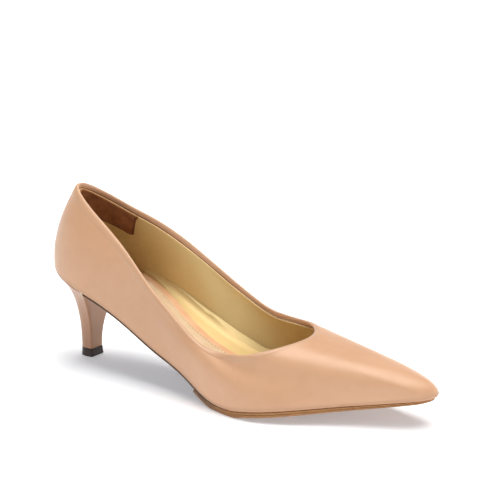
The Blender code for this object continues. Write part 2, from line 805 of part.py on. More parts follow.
def heel_solid(name, inset, seat_drop, foot_height, look, hollow=0.0):
    """The heel block, or with hollow its cover: a sleeve of that wall thickness."""
    sections = heel_sections(inset, HEEL_ROWS, seat_drop, foot_height)
    size = len(sections[0])
    points = [p for section in sections for p in section]
    faces = []
    for r in range(len(sections) - 1):
        for k in range(size):
            m = (k + 1) % size
            low, high = r * size, (r + 1) * size
            faces += split(low + k, low + m, high + m, high + k)
    if hollow:
        inner = heel_sections(inset + hollow, HEEL_ROWS, seat_drop, foot_height)
        start = len(points)
        points += [p for section in inner for p in section]
        faces += [tuple(start + v for v in face[::-1]) for face in list(faces)]
        for base in (0, (len(sections) - 1) * size):
            for k in range(size):
                m = (k + 1) % size
                ring = split(base + k, base + m, start + base + m, start + base + k)
                faces += ring
        return add_object(name, points, faces, look)
    for base in (0, (len(sections) - 1) * size):
        rows = cap_lines(size)
        first = rows[0]
        second = rows[1]
        middle = len(first) // 2
        for a, b in zip(first[:middle], first[1 : middle + 1]):
            faces.append((base + a, base + b, base + second[0]))
        for a, b in zip(first[middle:-1], first[middle + 1 :]):
            faces.append((base + a, base + b, base + second[1]))
        faces.append((base + first[middle], base + second[0], base + second[1]))
        for one, two in zip(rows[1:], rows[2:]):
            if len(two) == 2:
                faces += split(base + one[0], base + one[1], base + two[1], base + two[0])
            else:
                faces.append((base + one[0], base + one[1], base + two[0]))
    return add_object(name, points, faces, look)


def lift_solid(name, look):
    outlines = []
    top = LIFT_HEIGHT
    for z, grow in ((0.0, LIFT_FLARE), (0.5 * top, 0.6 * LIFT_FLARE), (top, 0.0)):
        outlines.append([np.array([*p, z]) for p in lift_outline(grow)])
    size = len(outlines[0])
    points = [p for outline in outlines for p in outline]
    faces = []
    for r in range(2):
        for k in range(size):
            m = (k + 1) % size
            faces += split(r * size + k, r * size + m, (r + 1) * size + m, (r + 1) * size + k)
    faces.append(tuple(range(size))[::-1])
    faces.append(tuple(range(2 * size, 3 * size)))
    return add_object(name, points, faces, look)


def shank_solid(name, look):
    ways = column_ways(way_of(SHANK_BACK), whole_column(way_of(SHANK_BACK + SHANK_LENGTH)))
    stations = [float(feather(way)[0]) for way in ways]
    points, faces = [], []
    for x in stations:
        middle = float(centre_curve(share_of(x)))
        for y, lift in (
            (-SHANK_HALF_WIDTH, SHANK_LOW),
            (SHANK_HALF_WIDTH, SHANK_LOW),
            (SHANK_HALF_WIDTH, SHANK_LOW + SHANK_THICK),
            (0.0, SHANK_LOW + SHANK_THICK),
            (-SHANK_HALF_WIDTH, SHANK_LOW + SHANK_THICK),
        ):
            points.append(on_sheet(x, middle + y, lift))
    for r in range(len(stations) - 1):
        for k in range(5):
            m = (k + 1) % 5
            faces += split(r * 5 + k, r * 5 + m, (r + 1) * 5 + m, (r + 1) * 5 + k)
    faces.append((4, 3, 2, 1, 0))
    last = 5 * (len(stations) - 1)
    faces.append(tuple(last + k for k in range(5)))
    return add_object(name, points, faces, look)


def tread_solid(name, look):
    """The forepart tread: its underside is pressed flat where the shoe stands on it."""
    obj = plate(name, column_ways(TREAD_WAY, 1.0), lambda c: TREAD_INSET,
                TREAD_LOW, TREAD_HIGH, look)
    for vertex in obj.data.vertices:
        if vertex.co.z < TREAD_FLAT:
            vertex.co.z = 0.0
    return obj


BREAST_WAY = way_of(BREAST_X)
HEEL_SIDE = int(BREAST_WAY * SIDE_COLUMNS - 0.2) + 1
SOLE_HIGH = -GAP
SOLE_LOW = SOLE_HIGH - OUTSOLE
SOLE_WAY = way_of(BREAST_X + 4 * GAP)
TREAD_HIGH = SOLE_LOW - GAP
TREAD_LOW = -SOLE_AT_BALL
TREAD_WAY = whole_column(way_of(BALL_X - TREAD_BEHIND_BALL))
SHANK_BACK = BREAST_X - SHANK_LAP
SHANK_LOW = 1.5 * GAP
FILLER_BACK = whole_column(way_of(SHANK_BACK + SHANK_LENGTH + FILLER_BEFORE_SHANK))
FILLER_FRONT = whole_column(way_of(TIP_X - FILLER_TO_TIP))
FILLER_LOW = GAP
BOARD_END = 1 - BOARD_STOP / SIDE_COLUMNS
FOAM_END = 1 - FOAM_STOP / SIDE_COLUMNS
SOCK_END = 1 - SOCK_STOP / SIDE_COLUMNS
PANEL_END = 1 - PANEL_STOP / SIDE_COLUMNS
HEAD_LOW = BOARD_LOW + 0.5 * BOARD     # nail, screw and rivet heads are sunk in the board
HEAD_HIGH = HEAD_LOW + NAIL_HEAD
HOLE_OVER = HEAD_LOW + 5 * MM          # cutters run out above the board


def whole_columns(reach):
    """The whole columns within this reach of the back seam, or of the toe tip when added to it."""
    most = int(reach)
    return list(range(-most, most + 1))


def build_upper():
    ring_solid("upper_leather", upper_profile, EDGE_ROW + 2, "leather")
    ring_solid("upper_lining", lining_profile, STEP_ROW + 1, "lining")
    build_stiffeners()
    wall_patch(
        "heel_grip",
        [-GRIP_REACH, *whole_columns(GRIP_REACH), GRIP_REACH],
        [GRIP_LOW, *range(int(GRIP_LOW) + 1, WALL_TOP + 1), WALL_TOP + 0.85],
        (LINING_IN + GAP, LINING_IN + GAP + GRIP),
        "suede",
    )


def build_stiffeners():
    """Counter, puff and interlining share one layer between the leather and its lining."""
    depths = (STIFF_OUT, STIFF_IN)
    below_fold = WALL_TOP - ROW_GAP
    counter = COUNTER_REACH - COLUMN_GAP
    counter_columns = [-counter, *whole_columns(counter), counter]
    wall_patch(
        "heel_counter", counter_columns, [*range(WALL_TOP), below_fold], depths, "stiffener",
    )
    front = SIDE_COLUMNS
    puff = PUFF_REACH - COLUMN_GAP
    puff_columns = [front + c for c in (-puff, *whole_columns(puff), puff)]
    wall_patch("toe_puff", puff_columns, [*range(int(PUFF_TOP) + 1)], depths, "stiffener")
    columns = [*range(COUNTER_REACH, COLUMNS - COUNTER_REACH + 1)]
    rows = [0, 1, 2, PUFF_TOP, PUFF_TOP + ROW_GAP, *range(int(PUFF_TOP) + 1, WALL_TOP), below_fold]
    wall_patch(
        "vamp_interlining", columns, rows, depths, "cloth",
        present=lambda i, k: not -PUFF_REACH <= columns[i] - front < PUFF_REACH or rows[k] > PUFF_TOP,
    )


def build_under_foot():
    board = plate(
        "insole_board", column_ways(0.0, BOARD_END),
        lambda c: room_inset(c, BOARD_LOW, BOARD_HIGH) + BOARD_PLAY,
        BOARD_LOW, BOARD_HIGH, "board",
    )
    plate(
        "sock_foam", column_ways(0.0, FOAM_END),
        lambda c: room_inset(c, FOAM_LOW, FOAM_HIGH) + SOCK_PLAY, FOAM_LOW, FOAM_HIGH, "foam",
    )
    plate(
        "sock_lining", column_ways(0.0, SOCK_END),
        lambda c: room_inset(c, SOCK_LOW, SOCK_HIGH) + SOCK_PLAY, SOCK_LOW, SOCK_HIGH, "peach",
    )
    plate(
        "sock_panel", column_ways(0.0, PANEL_END),
        lambda c: room_inset(c, SOCK_LOW, SOCK_HIGH) + margin_inset(c.around, PANEL_INSET),
        PANEL_LOW, PANEL_HIGH, "cream",
    )
    plate(
        "forepart_filler", column_ways(FILLER_BACK, FILLER_FRONT),
        lambda c: margin_inset(c.around, UPPER_MARGIN) + FILLER_PLAY,
        FILLER_LOW, BOARD_LOW - GAP, "cork", across=1,
    )
    plate(
        "outsole", column_ways(SOLE_WAY, 1.0), lambda c: SOLE_INSET,
        SOLE_LOW, SOLE_HIGH, "sole",
    )
    tread_solid("forepart_tread", "tread")
    shank = shank_solid("steel_shank", "steel")
    rivets = (("rear", RIVET_INSET), ("front", SHANK_LENGTH - RIVET_INSET))
    for label, along in rivets:
        x = SHANK_BACK + along
        stand = seat_stand(x, float(centre_curve(share_of(x))))
        name = "shank_rivet_" + label
        fastener(name, stand, SHANK_LOW, RIVET_RADIUS, "steel")
        sink_fastener(name, stand, -1 * MM, RIVET_RADIUS, board, shank)
    return board


def sink_fastener(name, stand, bottom, radius, board, other):
    """Cuts a fastener's hole in the board and the piece under it, and a sink for its head."""
    hole = tube("cut_" + name, stand, bottom, HOLE_OVER, radius + GAP, 0, "", 12, True)
    sink = tube("sink_" + name, stand, HEAD_LOW - GAP, HOLE_OVER,
                HEAD_SHARE * radius + GAP, 0, "", 12, True)
    cut(board, hole)
    cut(board, sink)
    cut(other, hole)


def build_heel(board):
    foot = LIFT_HEIGHT + GAP
    core = heel_solid("heel_core", COVER + GAP, GAP, foot, "plastic")
    heel_solid("heel_cover", 0.0, GAP, foot, "leather", hollow=COVER)
    lift = lift_solid("top_lift", "lift")
    middle = LIFT_BACK + 0.5 * LIFT_LENGTH
    axis = (np.array([middle, 0.0, 0.0]), UPRIGHT)
    heel_height = float(sheet_height(middle, 0.0))
    dowel_top = DOWEL_RISE * heel_height
    pin_foot = PIN_SINK * LIFT_HEIGHT
    tube("heel_dowel", axis, foot + GAP, dowel_top, DOWEL_RADIUS, DOWEL_BORE, "steel")
    tube("top_lift_pin", axis, pin_foot, PIN_RISE * heel_height, PIN_RADIUS, 0, "steel")
    bore = tube("cut_dowel", axis, 0.0, dowel_top + GAP, DOWEL_RADIUS + GAP, 0, "", helper=True)
    pin_hole = tube("cut_pin", axis, pin_foot - GAP, LIFT_HEIGHT + 2 * MM,
                    PIN_RADIUS + GAP, 0, "", helper=True)
    cut(core, bore)
    cut(lift, pin_hole)
    places = [("heel_screw", SCREW_BEHIND_BREAST, 0.0, SCREW_RADIUS, SCREW_REACH)]
    spots = [(back, side * out) for back, out in (NAIL_REAR, NAIL_FRONT) for side in (-1, 1)]
    places += [(f"heel_nail_{n + 1}", back, aside, NAIL_RADIUS, NAIL_REACH)
               for n, (back, aside) in enumerate(spots)]
    for name, back, aside, radius, reach in places:
        stand = seat_stand(BREAST_X - back, aside)
        fastener(name, stand, -reach, radius, "steel")
        sink_fastener(name, stand, -reach - GAP, radius, board, core)


def centre_on_box():
    """Moves everything so that the origin is the middle of the box's bottom face."""
    bpy.context.view_layer.update()
    graph = bpy.context.evaluated_depsgraph_get()
    low = np.full(3, np.inf)
    high = np.full(3, -np.inf)
    for obj in bpy.data.objects:
        if obj.hide_render:
            continue
        mesh = obj.evaluated_get(graph).to_mesh()
        corners = np.array([tuple(v.co) for v in mesh.vertices])
        low = np.minimum(low, corners.min(axis=0))
        high = np.maximum(high, corners.max(axis=0))
    shift = np.array([-(low[0] + high[0]) / 2, -(low[1] + high[1]) / 2, -low[2]])
    for obj in bpy.data.objects:
        for vertex in obj.data.vertices:
            vertex.co.x += shift[0]
            vertex.co.y += shift[1]
            vertex.co.z += shift[2]
        obj.data.update()


clear_scene()
build_upper()
build_heel(build_under_foot())
centre_on_box()
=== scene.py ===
import math

import bmesh
import bpy
import numpy as np
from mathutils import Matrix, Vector


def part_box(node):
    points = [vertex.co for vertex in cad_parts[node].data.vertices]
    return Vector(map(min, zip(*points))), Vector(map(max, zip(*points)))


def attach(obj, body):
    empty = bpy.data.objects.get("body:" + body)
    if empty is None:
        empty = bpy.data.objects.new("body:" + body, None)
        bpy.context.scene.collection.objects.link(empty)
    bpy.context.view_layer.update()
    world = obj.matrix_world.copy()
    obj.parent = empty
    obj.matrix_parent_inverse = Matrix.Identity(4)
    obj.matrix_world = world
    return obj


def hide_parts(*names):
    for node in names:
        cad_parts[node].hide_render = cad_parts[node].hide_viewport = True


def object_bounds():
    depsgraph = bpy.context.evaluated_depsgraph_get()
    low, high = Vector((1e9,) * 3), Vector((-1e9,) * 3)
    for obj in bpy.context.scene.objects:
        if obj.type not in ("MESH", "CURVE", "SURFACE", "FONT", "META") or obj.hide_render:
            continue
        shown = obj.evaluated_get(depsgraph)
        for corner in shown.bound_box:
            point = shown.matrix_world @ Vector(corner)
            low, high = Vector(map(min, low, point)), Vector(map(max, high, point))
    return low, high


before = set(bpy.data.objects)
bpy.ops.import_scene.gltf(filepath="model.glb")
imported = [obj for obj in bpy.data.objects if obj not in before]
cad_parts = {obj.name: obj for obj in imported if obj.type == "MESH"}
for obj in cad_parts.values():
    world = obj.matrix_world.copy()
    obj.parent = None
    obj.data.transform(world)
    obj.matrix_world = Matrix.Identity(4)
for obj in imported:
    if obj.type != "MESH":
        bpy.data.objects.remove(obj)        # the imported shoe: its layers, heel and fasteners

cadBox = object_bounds()
scene = bpy.context.scene
mm = 0.001               # everything below is worked out in millimetres

# The last that the upper is pulled over. Widths are half widths, walls stand over the bottom sheet.
last = {
    "backToLift": 25.1, "backSet": 5.7, "length": 250.0,
    "seatHalf": 24.4, "waistHalf": 23.0, "ballHalf": 37.3, "toeHalf": 18.8, "noseHalf": 7.5,
    "waistShift": -7.5, "ballShift": -9.4, "toeShift": -2.8,
    "ballPlace": 0.645, "seatRound": 0.12, "noseRound": 0.03, "noseMiddle": 12.0,
    "seatBackHeight": 57.0, "breastDrop": 13.0, "archDrop": 35.3,
    "soleAtBall": 2.9, "toeSpring": 12.0, "waistTilt": 1.8,
    "breastPlace": 0.141, "archPlace": 0.36, "archSpread": 0.11,
}
opening = {              # topline, from the back of the heel to the throat
    "back": 14.5, "throat": 70.0, "backWall": 53.0, "throatWall": 30.6,
    "outerWalls": (50.0, 39.0, 29.5, 27.2), "innerWalls": (51.0, 48.0, 38.5, 33.8),
    "heelHalf": 13.2, "waistHalf": 27.5, "frontHalf": 32.0,
    "waistShift": -2.7, "frontShift": -7.6, "backRound": 0.17, "frontRound": 0.16,
}
layers = {               # depths under the skin, and heights over the bottom sheet
    "leather": 1.2, "folded": 2.3, "liningOut": 2.6, "liningIn": 3.4,
    "gripOut": 3.45, "sockHigh": 7.5, "panelHigh": 8.2, "soleInset": 0.5,
}

liftLow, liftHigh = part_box("top_lift")
liftX = (liftLow.x + liftHigh.x) / 2 / mm
heelY = (liftLow.y + liftHigh.y) / 2 / mm
lastBack = liftX - last["backToLift"]
seatX = lastBack + last["backSet"]
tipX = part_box("outsole")[1].x / mm + layers["soleInset"]
ringLength = tipX - seatX
breastX = seatX + last["breastPlace"] * ringLength


def easedCurve(keys, values):
    keys = np.asarray(keys, float)
    values = np.asarray(values, float)
    steps = np.diff(keys)
    slopes = np.diff(values) / steps
    tangents = np.zeros(len(keys))
    for i in range(1, len(keys) - 1):
        before, after = slopes[i - 1], slopes[i]
        if before * after > 0:
            first = 2 * steps[i] + steps[i - 1]
            second = steps[i] + 2 * steps[i - 1]
            tangents[i] = (first + second) / (first / before + second / after)
    tangents[0], tangents[-1] = slopes[0], slopes[-1]

    def at(place):
        place = np.clip(np.asarray(place, float), keys[0], keys[-1])
        i = np.clip(np.searchsorted(keys, place) - 1, 0, len(steps) - 1)
        t = (place - keys[i]) / steps[i]
        rise = t * t * (3 - 2 * t)
        out = t * (1 - t) ** 2 * steps[i] * tangents[i]
        back = t * t * (t - 1) * steps[i] * tangents[i + 1]
        return values[i] + (values[i + 1] - values[i]) * rise + out + back

    return at


def roundedEnd(share, radius):        # a quarter circle from 0 up to 1
    t = np.clip(share / radius, 0, 1)
    return np.sqrt(np.maximum(1 - (1 - t) ** 2, 0))


def smoothRing(values, sigma):        # Gaussian smoothing along a closed ring of samples
    pace = np.fft.fftfreq(len(values))
    soft = np.exp(-2 * (np.pi * pace * sigma) ** 2)
    soft = soft.reshape((-1,) + (1,) * (values.ndim - 1))
    return np.real(np.fft.ifft(np.fft.fft(values, axis=0) * soft, axis=0))


def smoothLine(values, sigma):        # the same for an open line, keeping its ends
    pad = int(4 * sigma)
    wide = np.pad(values, pad, mode="reflect", reflect_type="odd")
    return smoothRing(wide, sigma)[pad:-pad]


def evenTurn(share):                  # 0 to 1, slow at both ends, as round a half circle
    return (1 - np.cos(np.pi * share)) / 2


def smoothStep(value, low, high):
    t = np.clip((value - low) / (high - low), 0, 1)
    return t * t * (3 - 2 * t)


seatHeight = last["seatBackHeight"]
ballHeight = last["soleAtBall"]
halfWidthCurve = easedCurve(
    (0, 0.20, 0.42, last["ballPlace"], 0.87, 1),
    (last["seatHalf"], last["seatHalf"] * 1.02, last["waistHalf"], last["ballHalf"],
     last["toeHalf"], last["noseHalf"]))
centreCurve = easedCurve(
    (0, 0.15, 0.42, last["ballPlace"], 0.87, 1),
    (0, 0, last["waistShift"], last["ballShift"], last["toeShift"], 0))
heightCurve = easedCurve(
    (0, 0.152, 0.285, 0.39, 0.475, 0.53, 0.565, 0.605, 0.66, 0.77, 0.88, 1),
    (seatHeight, seatHeight - last["breastDrop"], seatHeight - 0.66 * last["archDrop"],
     seatHeight - last["archDrop"], ballHeight + 0.14 * (seatHeight - ballHeight),
     ballHeight + 0.022 * (seatHeight - ballHeight), ballHeight, ballHeight,
     ballHeight + 0.15 * last["toeSpring"], ballHeight + 0.42 * last["toeSpring"],
     ballHeight + 0.68 * last["toeSpring"], ballHeight + last["toeSpring"]))
topHalfCurve = easedCurve(
    (0, 0.15, 0.5, 0.8, 1),
    (opening["heelHalf"], opening["heelHalf"], opening["waistHalf"], opening["frontHalf"],
     0.85 * opening["frontHalf"]))
topCentreCurve = easedCurve((0, 0.15, 0.5, 1), (0, 0, opening["waistShift"], opening["frontShift"]))
wallKeys = (0, 0.07, 0.25, 0.5, 0.8, 1)
outerWallCurve = easedCurve(
    wallKeys, (opening["backWall"], *opening["outerWalls"], opening["throatWall"]))
innerWallCurve = easedCurve(
    wallKeys, (opening["backWall"], *opening["innerWalls"], opening["throatWall"]))

# Handles of the wall's curve, over the way round from the back (0) to the toe (1)
wayKeys = (0, 0.15, 0.40, 0.65, 0.85, 1)
lowShare = easedCurve(wayKeys, (0.33, 0.33, 0.33, 0.20, 0.06, 0.03))
lowOut = easedCurve(wayKeys, (6.5, 6.0, 4.0, 3.2, 2.9, 4.9))
lowUp = easedCurve(wayKeys, (0.1, 0.5, 0.0, 5.7, 8.5, 12.4))
highOut = easedCurve(wayKeys, (6.0, 5.3, 4.0, 4.6, 1.5, 0.1))
highUp = easedCurve(wayKeys, (-0.3, 0.0, 1.6, -0.8, 4.0, 0.3))

shares = np.linspace(0, 1, 1201)
heightTable = smoothLine(heightCurve(shares), 14)


def shareOf(x):
    return np.clip((x - seatX) / ringLength, 0, 1)


def sheetHeight(x, y):                # the bottom sheet that the foot stands on
    share = shareOf(x)
    place = (x - lastBack) / last["length"]
    bump = np.exp(-((place - last["archPlace"]) / last["archSpread"]) ** 2)
    across = np.clip((y - heelY - centreCurve(share)) / halfWidthCurve(share), -1, 1)
    height = np.interp(share, shares, heightTable)
    return height + last["waistTilt"] * bump * (across - 1)


def onSheet(x, y, lift):
    x, y = np.asarray(x, float), np.asarray(y, float)
    reach = 0.5
    slopeX = (sheetHeight(x + reach, y) - sheetHeight(x - reach, y)) / (2 * reach)
    slopeY = (sheetHeight(x, y + reach) - sheetHeight(x, y - reach)) / (2 * reach)
    normal = np.stack([-slopeX, -slopeY, np.ones_like(slopeX)], -1)
    normal /= np.linalg.norm(normal, axis=-1, keepdims=True)
    lift = np.broadcast_to(np.asarray(lift, float), x.shape)
    return np.stack([x, y, sheetHeight(x, y)], -1) + lift[..., None] * normal


def sideAndWay(around):               # outer side of the foot first, then the inner
    around = np.mod(around, 2.0)
    return np.where(around <= 1, -1.0, 1.0), np.where(around <= 1, around, 2 - around)


def featherAt(around):
    side, way = sideAndWay(around)
    share = evenTurn(way)
    width = halfWidthCurve(share) * roundedEnd(share, last["seatRound"])
    width = width * roundedEnd(1 - share, last["noseRound"])
    x = seatX + ringLength * share
    y = heelY + centreCurve(share) + side * width
    return np.stack([x, y, sheetHeight(x, y)], -1)


def toplineAt(around):
    side, way = sideAndWay(around)
    share = evenTurn(way)
    backX = seatX + opening["back"]
    x = backX + (tipX - opening["throat"] - backX) * share
    width = topHalfCurve(share) * roundedEnd(share, opening["backRound"])
    width = width * roundedEnd(1 - share, opening["frontRound"])
    y = heelY + topCentreCurve(share) + side * width
    wall = np.where(side < 0, outerWallCurve(share), innerWallCurve(share))
    height = np.interp(shareOf(x), shares, heightTable)
    return np.stack([x, y, height + wall], -1)


ringSteps = 800                       # samples of the skin's curves along each side of the foot


def skinControls():
    around = np.arange(2 * ringSteps) / ringSteps
    way = sideAndWay(around)[1]
    foot, top = featherAt(around), toplineAt(around)
    along = featherAt(around + 0.002) - featherAt(around - 0.002)
    away = np.stack([along[:, 1], -along[:, 0], np.zeros(len(along))], -1)
    away /= np.linalg.norm(away, axis=1, keepdims=True)
    up = np.array([0.0, 0.0, 1.0])
    low = foot + (top - foot) * lowShare(way)[:, None] + away * lowOut(way)[:, None]
    low = low + up * lowUp(way)[:, None]
    high = foot + (top - foot) * 0.667 + away * highOut(way)[:, None] + up * highUp(way)[:, None]
    return [smoothRing(line, 11) for line in (foot, low, high, top)]


controls = skinControls()


def controlAt(number, around):
    line = controls[number]
    place = np.mod(around, 2.0) / 2 * len(line)
    first = np.floor(place).astype(int) % len(line)
    part = (place - np.floor(place))[..., None]
    return line[first] * (1 - part) + line[(first + 1) % len(line)] * part


def topLean():                        # turns the columns square to the topline as they reach it
    high, top = controls[2], controls[3]
    along = np.roll(top, -4, 0) - np.roll(top, 4, 0)
    span = (along ** 2).sum(1)
    lean = -3 * ((top - high) * along).sum(1) / span * 8 / ringSteps
    return smoothRing(lean, 14)


leans = topLean()


def skinAt(around, rise):
    marks = np.arange(2 * ringSteps + 1) / ringSteps
    lean = np.interp(np.mod(around, 2.0), marks, np.append(leans, leans[0]))
    place = around[:, None] + lean[:, None] * np.maximum(rise - 0.6, 0) ** 2 / 0.8
    foot, low, high, top = [controlAt(n, place) for n in range(4)]
    t = rise[..., None]
    return (foot * (1 - t) ** 3 + 3 * low * t * (1 - t) ** 2
            + 3 * high * t ** 2 * (1 - t) + top * t ** 3)


def wallRows(around, placesOf):       # rows at given places up the wall, with their normals
    steps = np.linspace(0, 1, 121)
    dense = skinAt(around, np.tile(steps, (len(around), 1)))
    run = np.cumsum(np.linalg.norm(np.diff(dense, axis=1), axis=2), axis=1)
    run = np.concatenate([np.zeros((len(around), 1)), run], axis=1)
    places = placesOf(run[:, -1])
    rise = np.array([np.interp(places[i], run[i], steps) for i in range(len(around))])
    points = skinAt(around, rise)
    beside = skinAt(around + 0.002, rise) - skinAt(around - 0.002, rise)
    climb = skinAt(around, np.minimum(rise + 0.01, 1)) - skinAt(around, np.maximum(rise - 0.01, 0))
    normals = np.cross(beside, climb)
    return points, normals / np.linalg.norm(normals, axis=2, keepdims=True)


def middleUnder(foot):                # the sole's middle line beside each point of its border
    x = np.clip(foot[:, 0], seatX + last["seatRound"] * ringLength, tipX - last["noseMiddle"])
    return np.stack([x, heelY + centreCurve(shareOf(x))], -1)


def underFoot(around, inset, lift):   # on the bottom sheet, this far in from its border
    foot = controlAt(0, around)[:, :2]
    reach = middleUnder(foot) - foot
    part = np.minimum(inset / np.linalg.norm(reach, axis=1), 0.75)
    spot = foot + reach * part[:, None]
    return onSheet(spot[:, 0], spot[:, 1], lift)


def makePiece(name, points, faces, looks, marks=None, faceLooks=None):
    mesh = bpy.data.meshes.new(name)
    mesh.from_pydata((np.asarray(points, float).reshape(-1, 3) * mm).tolist(), [], faces)
    for look in [looks] if isinstance(looks, bpy.types.Material) else looks:
        mesh.materials.append(look)
    for label, values in (marks or {}).items():
        layer = mesh.attributes.new(label, "FLOAT", "POINT")
        layer.data.foreach_set("value", np.asarray(values, np.float32).ravel())
    if faceLooks is not None:
        mesh.polygons.foreach_set("material_index", faceLooks)
    body = bmesh.new()
    body.from_mesh(mesh)
    bmesh.ops.remove_doubles(body, verts=body.verts[:], dist=0.000004)
    bmesh.ops.recalc_face_normals(body, faces=body.faces[:])
    body.to_mesh(mesh)
    body.free()
    mesh.shade_smooth()
    piece = bpy.data.objects.new(name, mesh)
    scene.collection.objects.link(piece)
    return piece


def bandFaces(count, size, closed=True):   # a closed outline repeated round a ring or in a row
    return [(i * size + k, (i + 1) % count * size + k,
             (i + 1) % count * size + (k + 1) % size, i * size + (k + 1) % size)
            for i in range(count if closed else count - 1) for k in range(size)]


def endFaces(count, size, across):    # closes both ends of such a row, top against bottom
    return [(base + k, base + k + 1, base + size - 2 - k, base + size - 1 - k)
            for base in (0, (count - 1) * size) for k in range(across - 1)]


def keepOn(piece, nodes):
    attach(piece, "root")
    if nodes:
        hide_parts(*nodes)
    return piece


# Materials

def fromHex(code):                    # sRGB hex to linear
    parts = [int(code[i:i + 2], 16) / 255 for i in (1, 3, 5)]
    return [c / 12.92 if c <= 0.04045 else ((c + 0.055) / 1.055) ** 2.4 for c in parts] + [1.0]


def feed(tree, socket, value):        # a socket takes a link, a hex colour or a plain value
    if isinstance(value, bpy.types.NodeSocket):
        tree.links.new(value, socket)
    else:
        socket.default_value = fromHex(value) if str(value).startswith("#") else value


def addNode(tree, kind, settings=None, inputs=None):
    node = tree.nodes.new(kind)
    for name, value in (settings or {}).items():
        setattr(node, name, value)
    for name, value in (inputs or {}).items():
        feed(tree, node.inputs[name], value)
    return node


def newMaterial(name):
    made = bpy.data.materials.new(name)
    made.use_nodes = True
    tree = made.node_tree
    return made, tree, addNode(tree, "ShaderNodeTexCoord").outputs["Object"]


def dress(made, **shader):            # what the Principled shader gets, socket by socket
    tree = made.node_tree
    for key, value in shader.items():
        feed(tree, tree.nodes["Principled BSDF"].inputs[key.replace("_", " ")], value)
    return made


def mixColour(tree, factor, first, second):
    return addNode(tree, "ShaderNodeMix", {"data_type": "RGBA"},
                   {0: factor, 6: first, 7: second}).outputs[2]


def ramp(tree, factor, low, high, lowTo=0.0, highTo=1.0):
    return addNode(tree, "ShaderNodeMapRange", {}, {
        "Value": factor, "From Min": low, "From Max": high,
        "To Min": lowTo, "To Max": highTo}).outputs[0]


def noise(tree, place, size, detail=2.0, rough=0.5):   # size of a blotch in millimetres
    return addNode(tree, "ShaderNodeTexNoise", {}, {
        "Vector": place, "Scale": 1 / (size * mm), "Detail": detail,
        "Roughness": rough}).outputs[0]


def cells(tree, place, size, settings=None, inputs=None):   # distance within cells of this size
    return addNode(tree, "ShaderNodeTexVoronoi", settings, {
        "Vector": place, "Scale": 1 / (size * mm), **(inputs or {})}).outputs["Distance"]


def stretched(tree, place, scale):
    return addNode(tree, "ShaderNodeMapping", {}, {"Vector": place, "Scale": scale}).outputs[0]


def alongFoot(tree, place):
    return addNode(tree, "ShaderNodeSeparateXYZ", {}, {0: place}).outputs[0]


def bumpFrom(tree, height, depth, under=None):          # depth in millimetres
    below = {"Normal": under} if under else {}
    return addNode(tree, "ShaderNodeBump", {}, {
        "Height": height, "Distance": depth * mm, "Strength": 1.0, **below}).outputs[0]


def attribute(tree, name):
    return addNode(tree, "ShaderNodeAttribute", {"attribute_name": name}).outputs["Fac"]


# edge in these tones is a painted highlight for the rolled topline
# groove in these tones is a painted shade for the dark gap between the rolled edge and the lining
# shade in these tones serves both the random mottle and a painted shade along the feather line
calf = {"base": "#C69670", "light": "#CE9F7B", "shade": "#B18462", "edge": "#C59A78",
        "groove": "#7C4C2C", "pore": 0.55, "blotch": 60.0, "mottle": 5.0, "crease": 2.2}
# painted shade: the heel cover is the upper's calf with a darker base and light tone, a shaded copy
# of it
heelCalfShaded = {**calf, "base": "#A17454", "light": "#AB7D5C"}


def calfLeather(name, skin):
    # smooth full-grain calf, dyed nude and finished with a light wax: a satin sheen on fine pores
    made, tree, place = newMaterial(name)
    blotch = ramp(tree, noise(tree, place, skin["blotch"], 3.0), 0.36, 0.64)
    colour = mixColour(tree, blotch, skin["base"], skin["light"])
    mottle = ramp(tree, noise(tree, place, skin["mottle"], 4.0, 0.6), 0.45, 0.75, 0.0, 0.12)
    colour = mixColour(tree, mottle, colour, skin["shade"])
    # painted highlight: lighter along the rolled topline, where the edge mask is high
    edgeHighlight = ramp(tree, attribute(tree, "edge"), 0.0, 1.0, 0.0, 0.75)
    colour = mixColour(tree, edgeHighlight, colour, skin["edge"])
    # painted shade: darker towards the feather line, where the upper turns under onto the sole, and
    # at the foot of the heel cover
    hem = ramp(tree, attribute(tree, "hem"), 0.0, 1.0, 0.0, 0.7)
    colour = mixColour(tree, hem, colour, skin["shade"])
    # painted shade: the fold's inner face, just above the lining, turns dark brown for the gap there
    colour = mixColour(tree, attribute(tree, "groove"), colour, skin["groove"])
    gloss = ramp(tree, noise(tree, place, 9.0, 3.0), 0.3, 0.7, 0.37, 0.47)
    pores = cells(tree, place, skin["pore"], {"feature": "SMOOTH_F1"}, {"Smoothness": 0.6})
    creases = noise(tree, place, skin["crease"], 5.0, 0.65)
    bumps = bumpFrom(tree, creases, 0.035, bumpFrom(tree, pores, 0.018))
    return dress(made, Base_Color=colour, Roughness=gloss, Normal=bumps, Coat_Weight=0.12,
                 Coat_Roughness=0.42, Specular_IOR_Level=0.5)


# one of these colours is a painted pool of light: the paler gold across the middle of the quarter
# the toe colour here is painted shade, a darker gold under the vamp
gold = {"base": "#BC9D62", "light": "#CBAD74", "streak": "#A88A50", "paintedLight": "#E6CC90",
        "toe": "#AC8C50", "fleck": "#DCC188"}


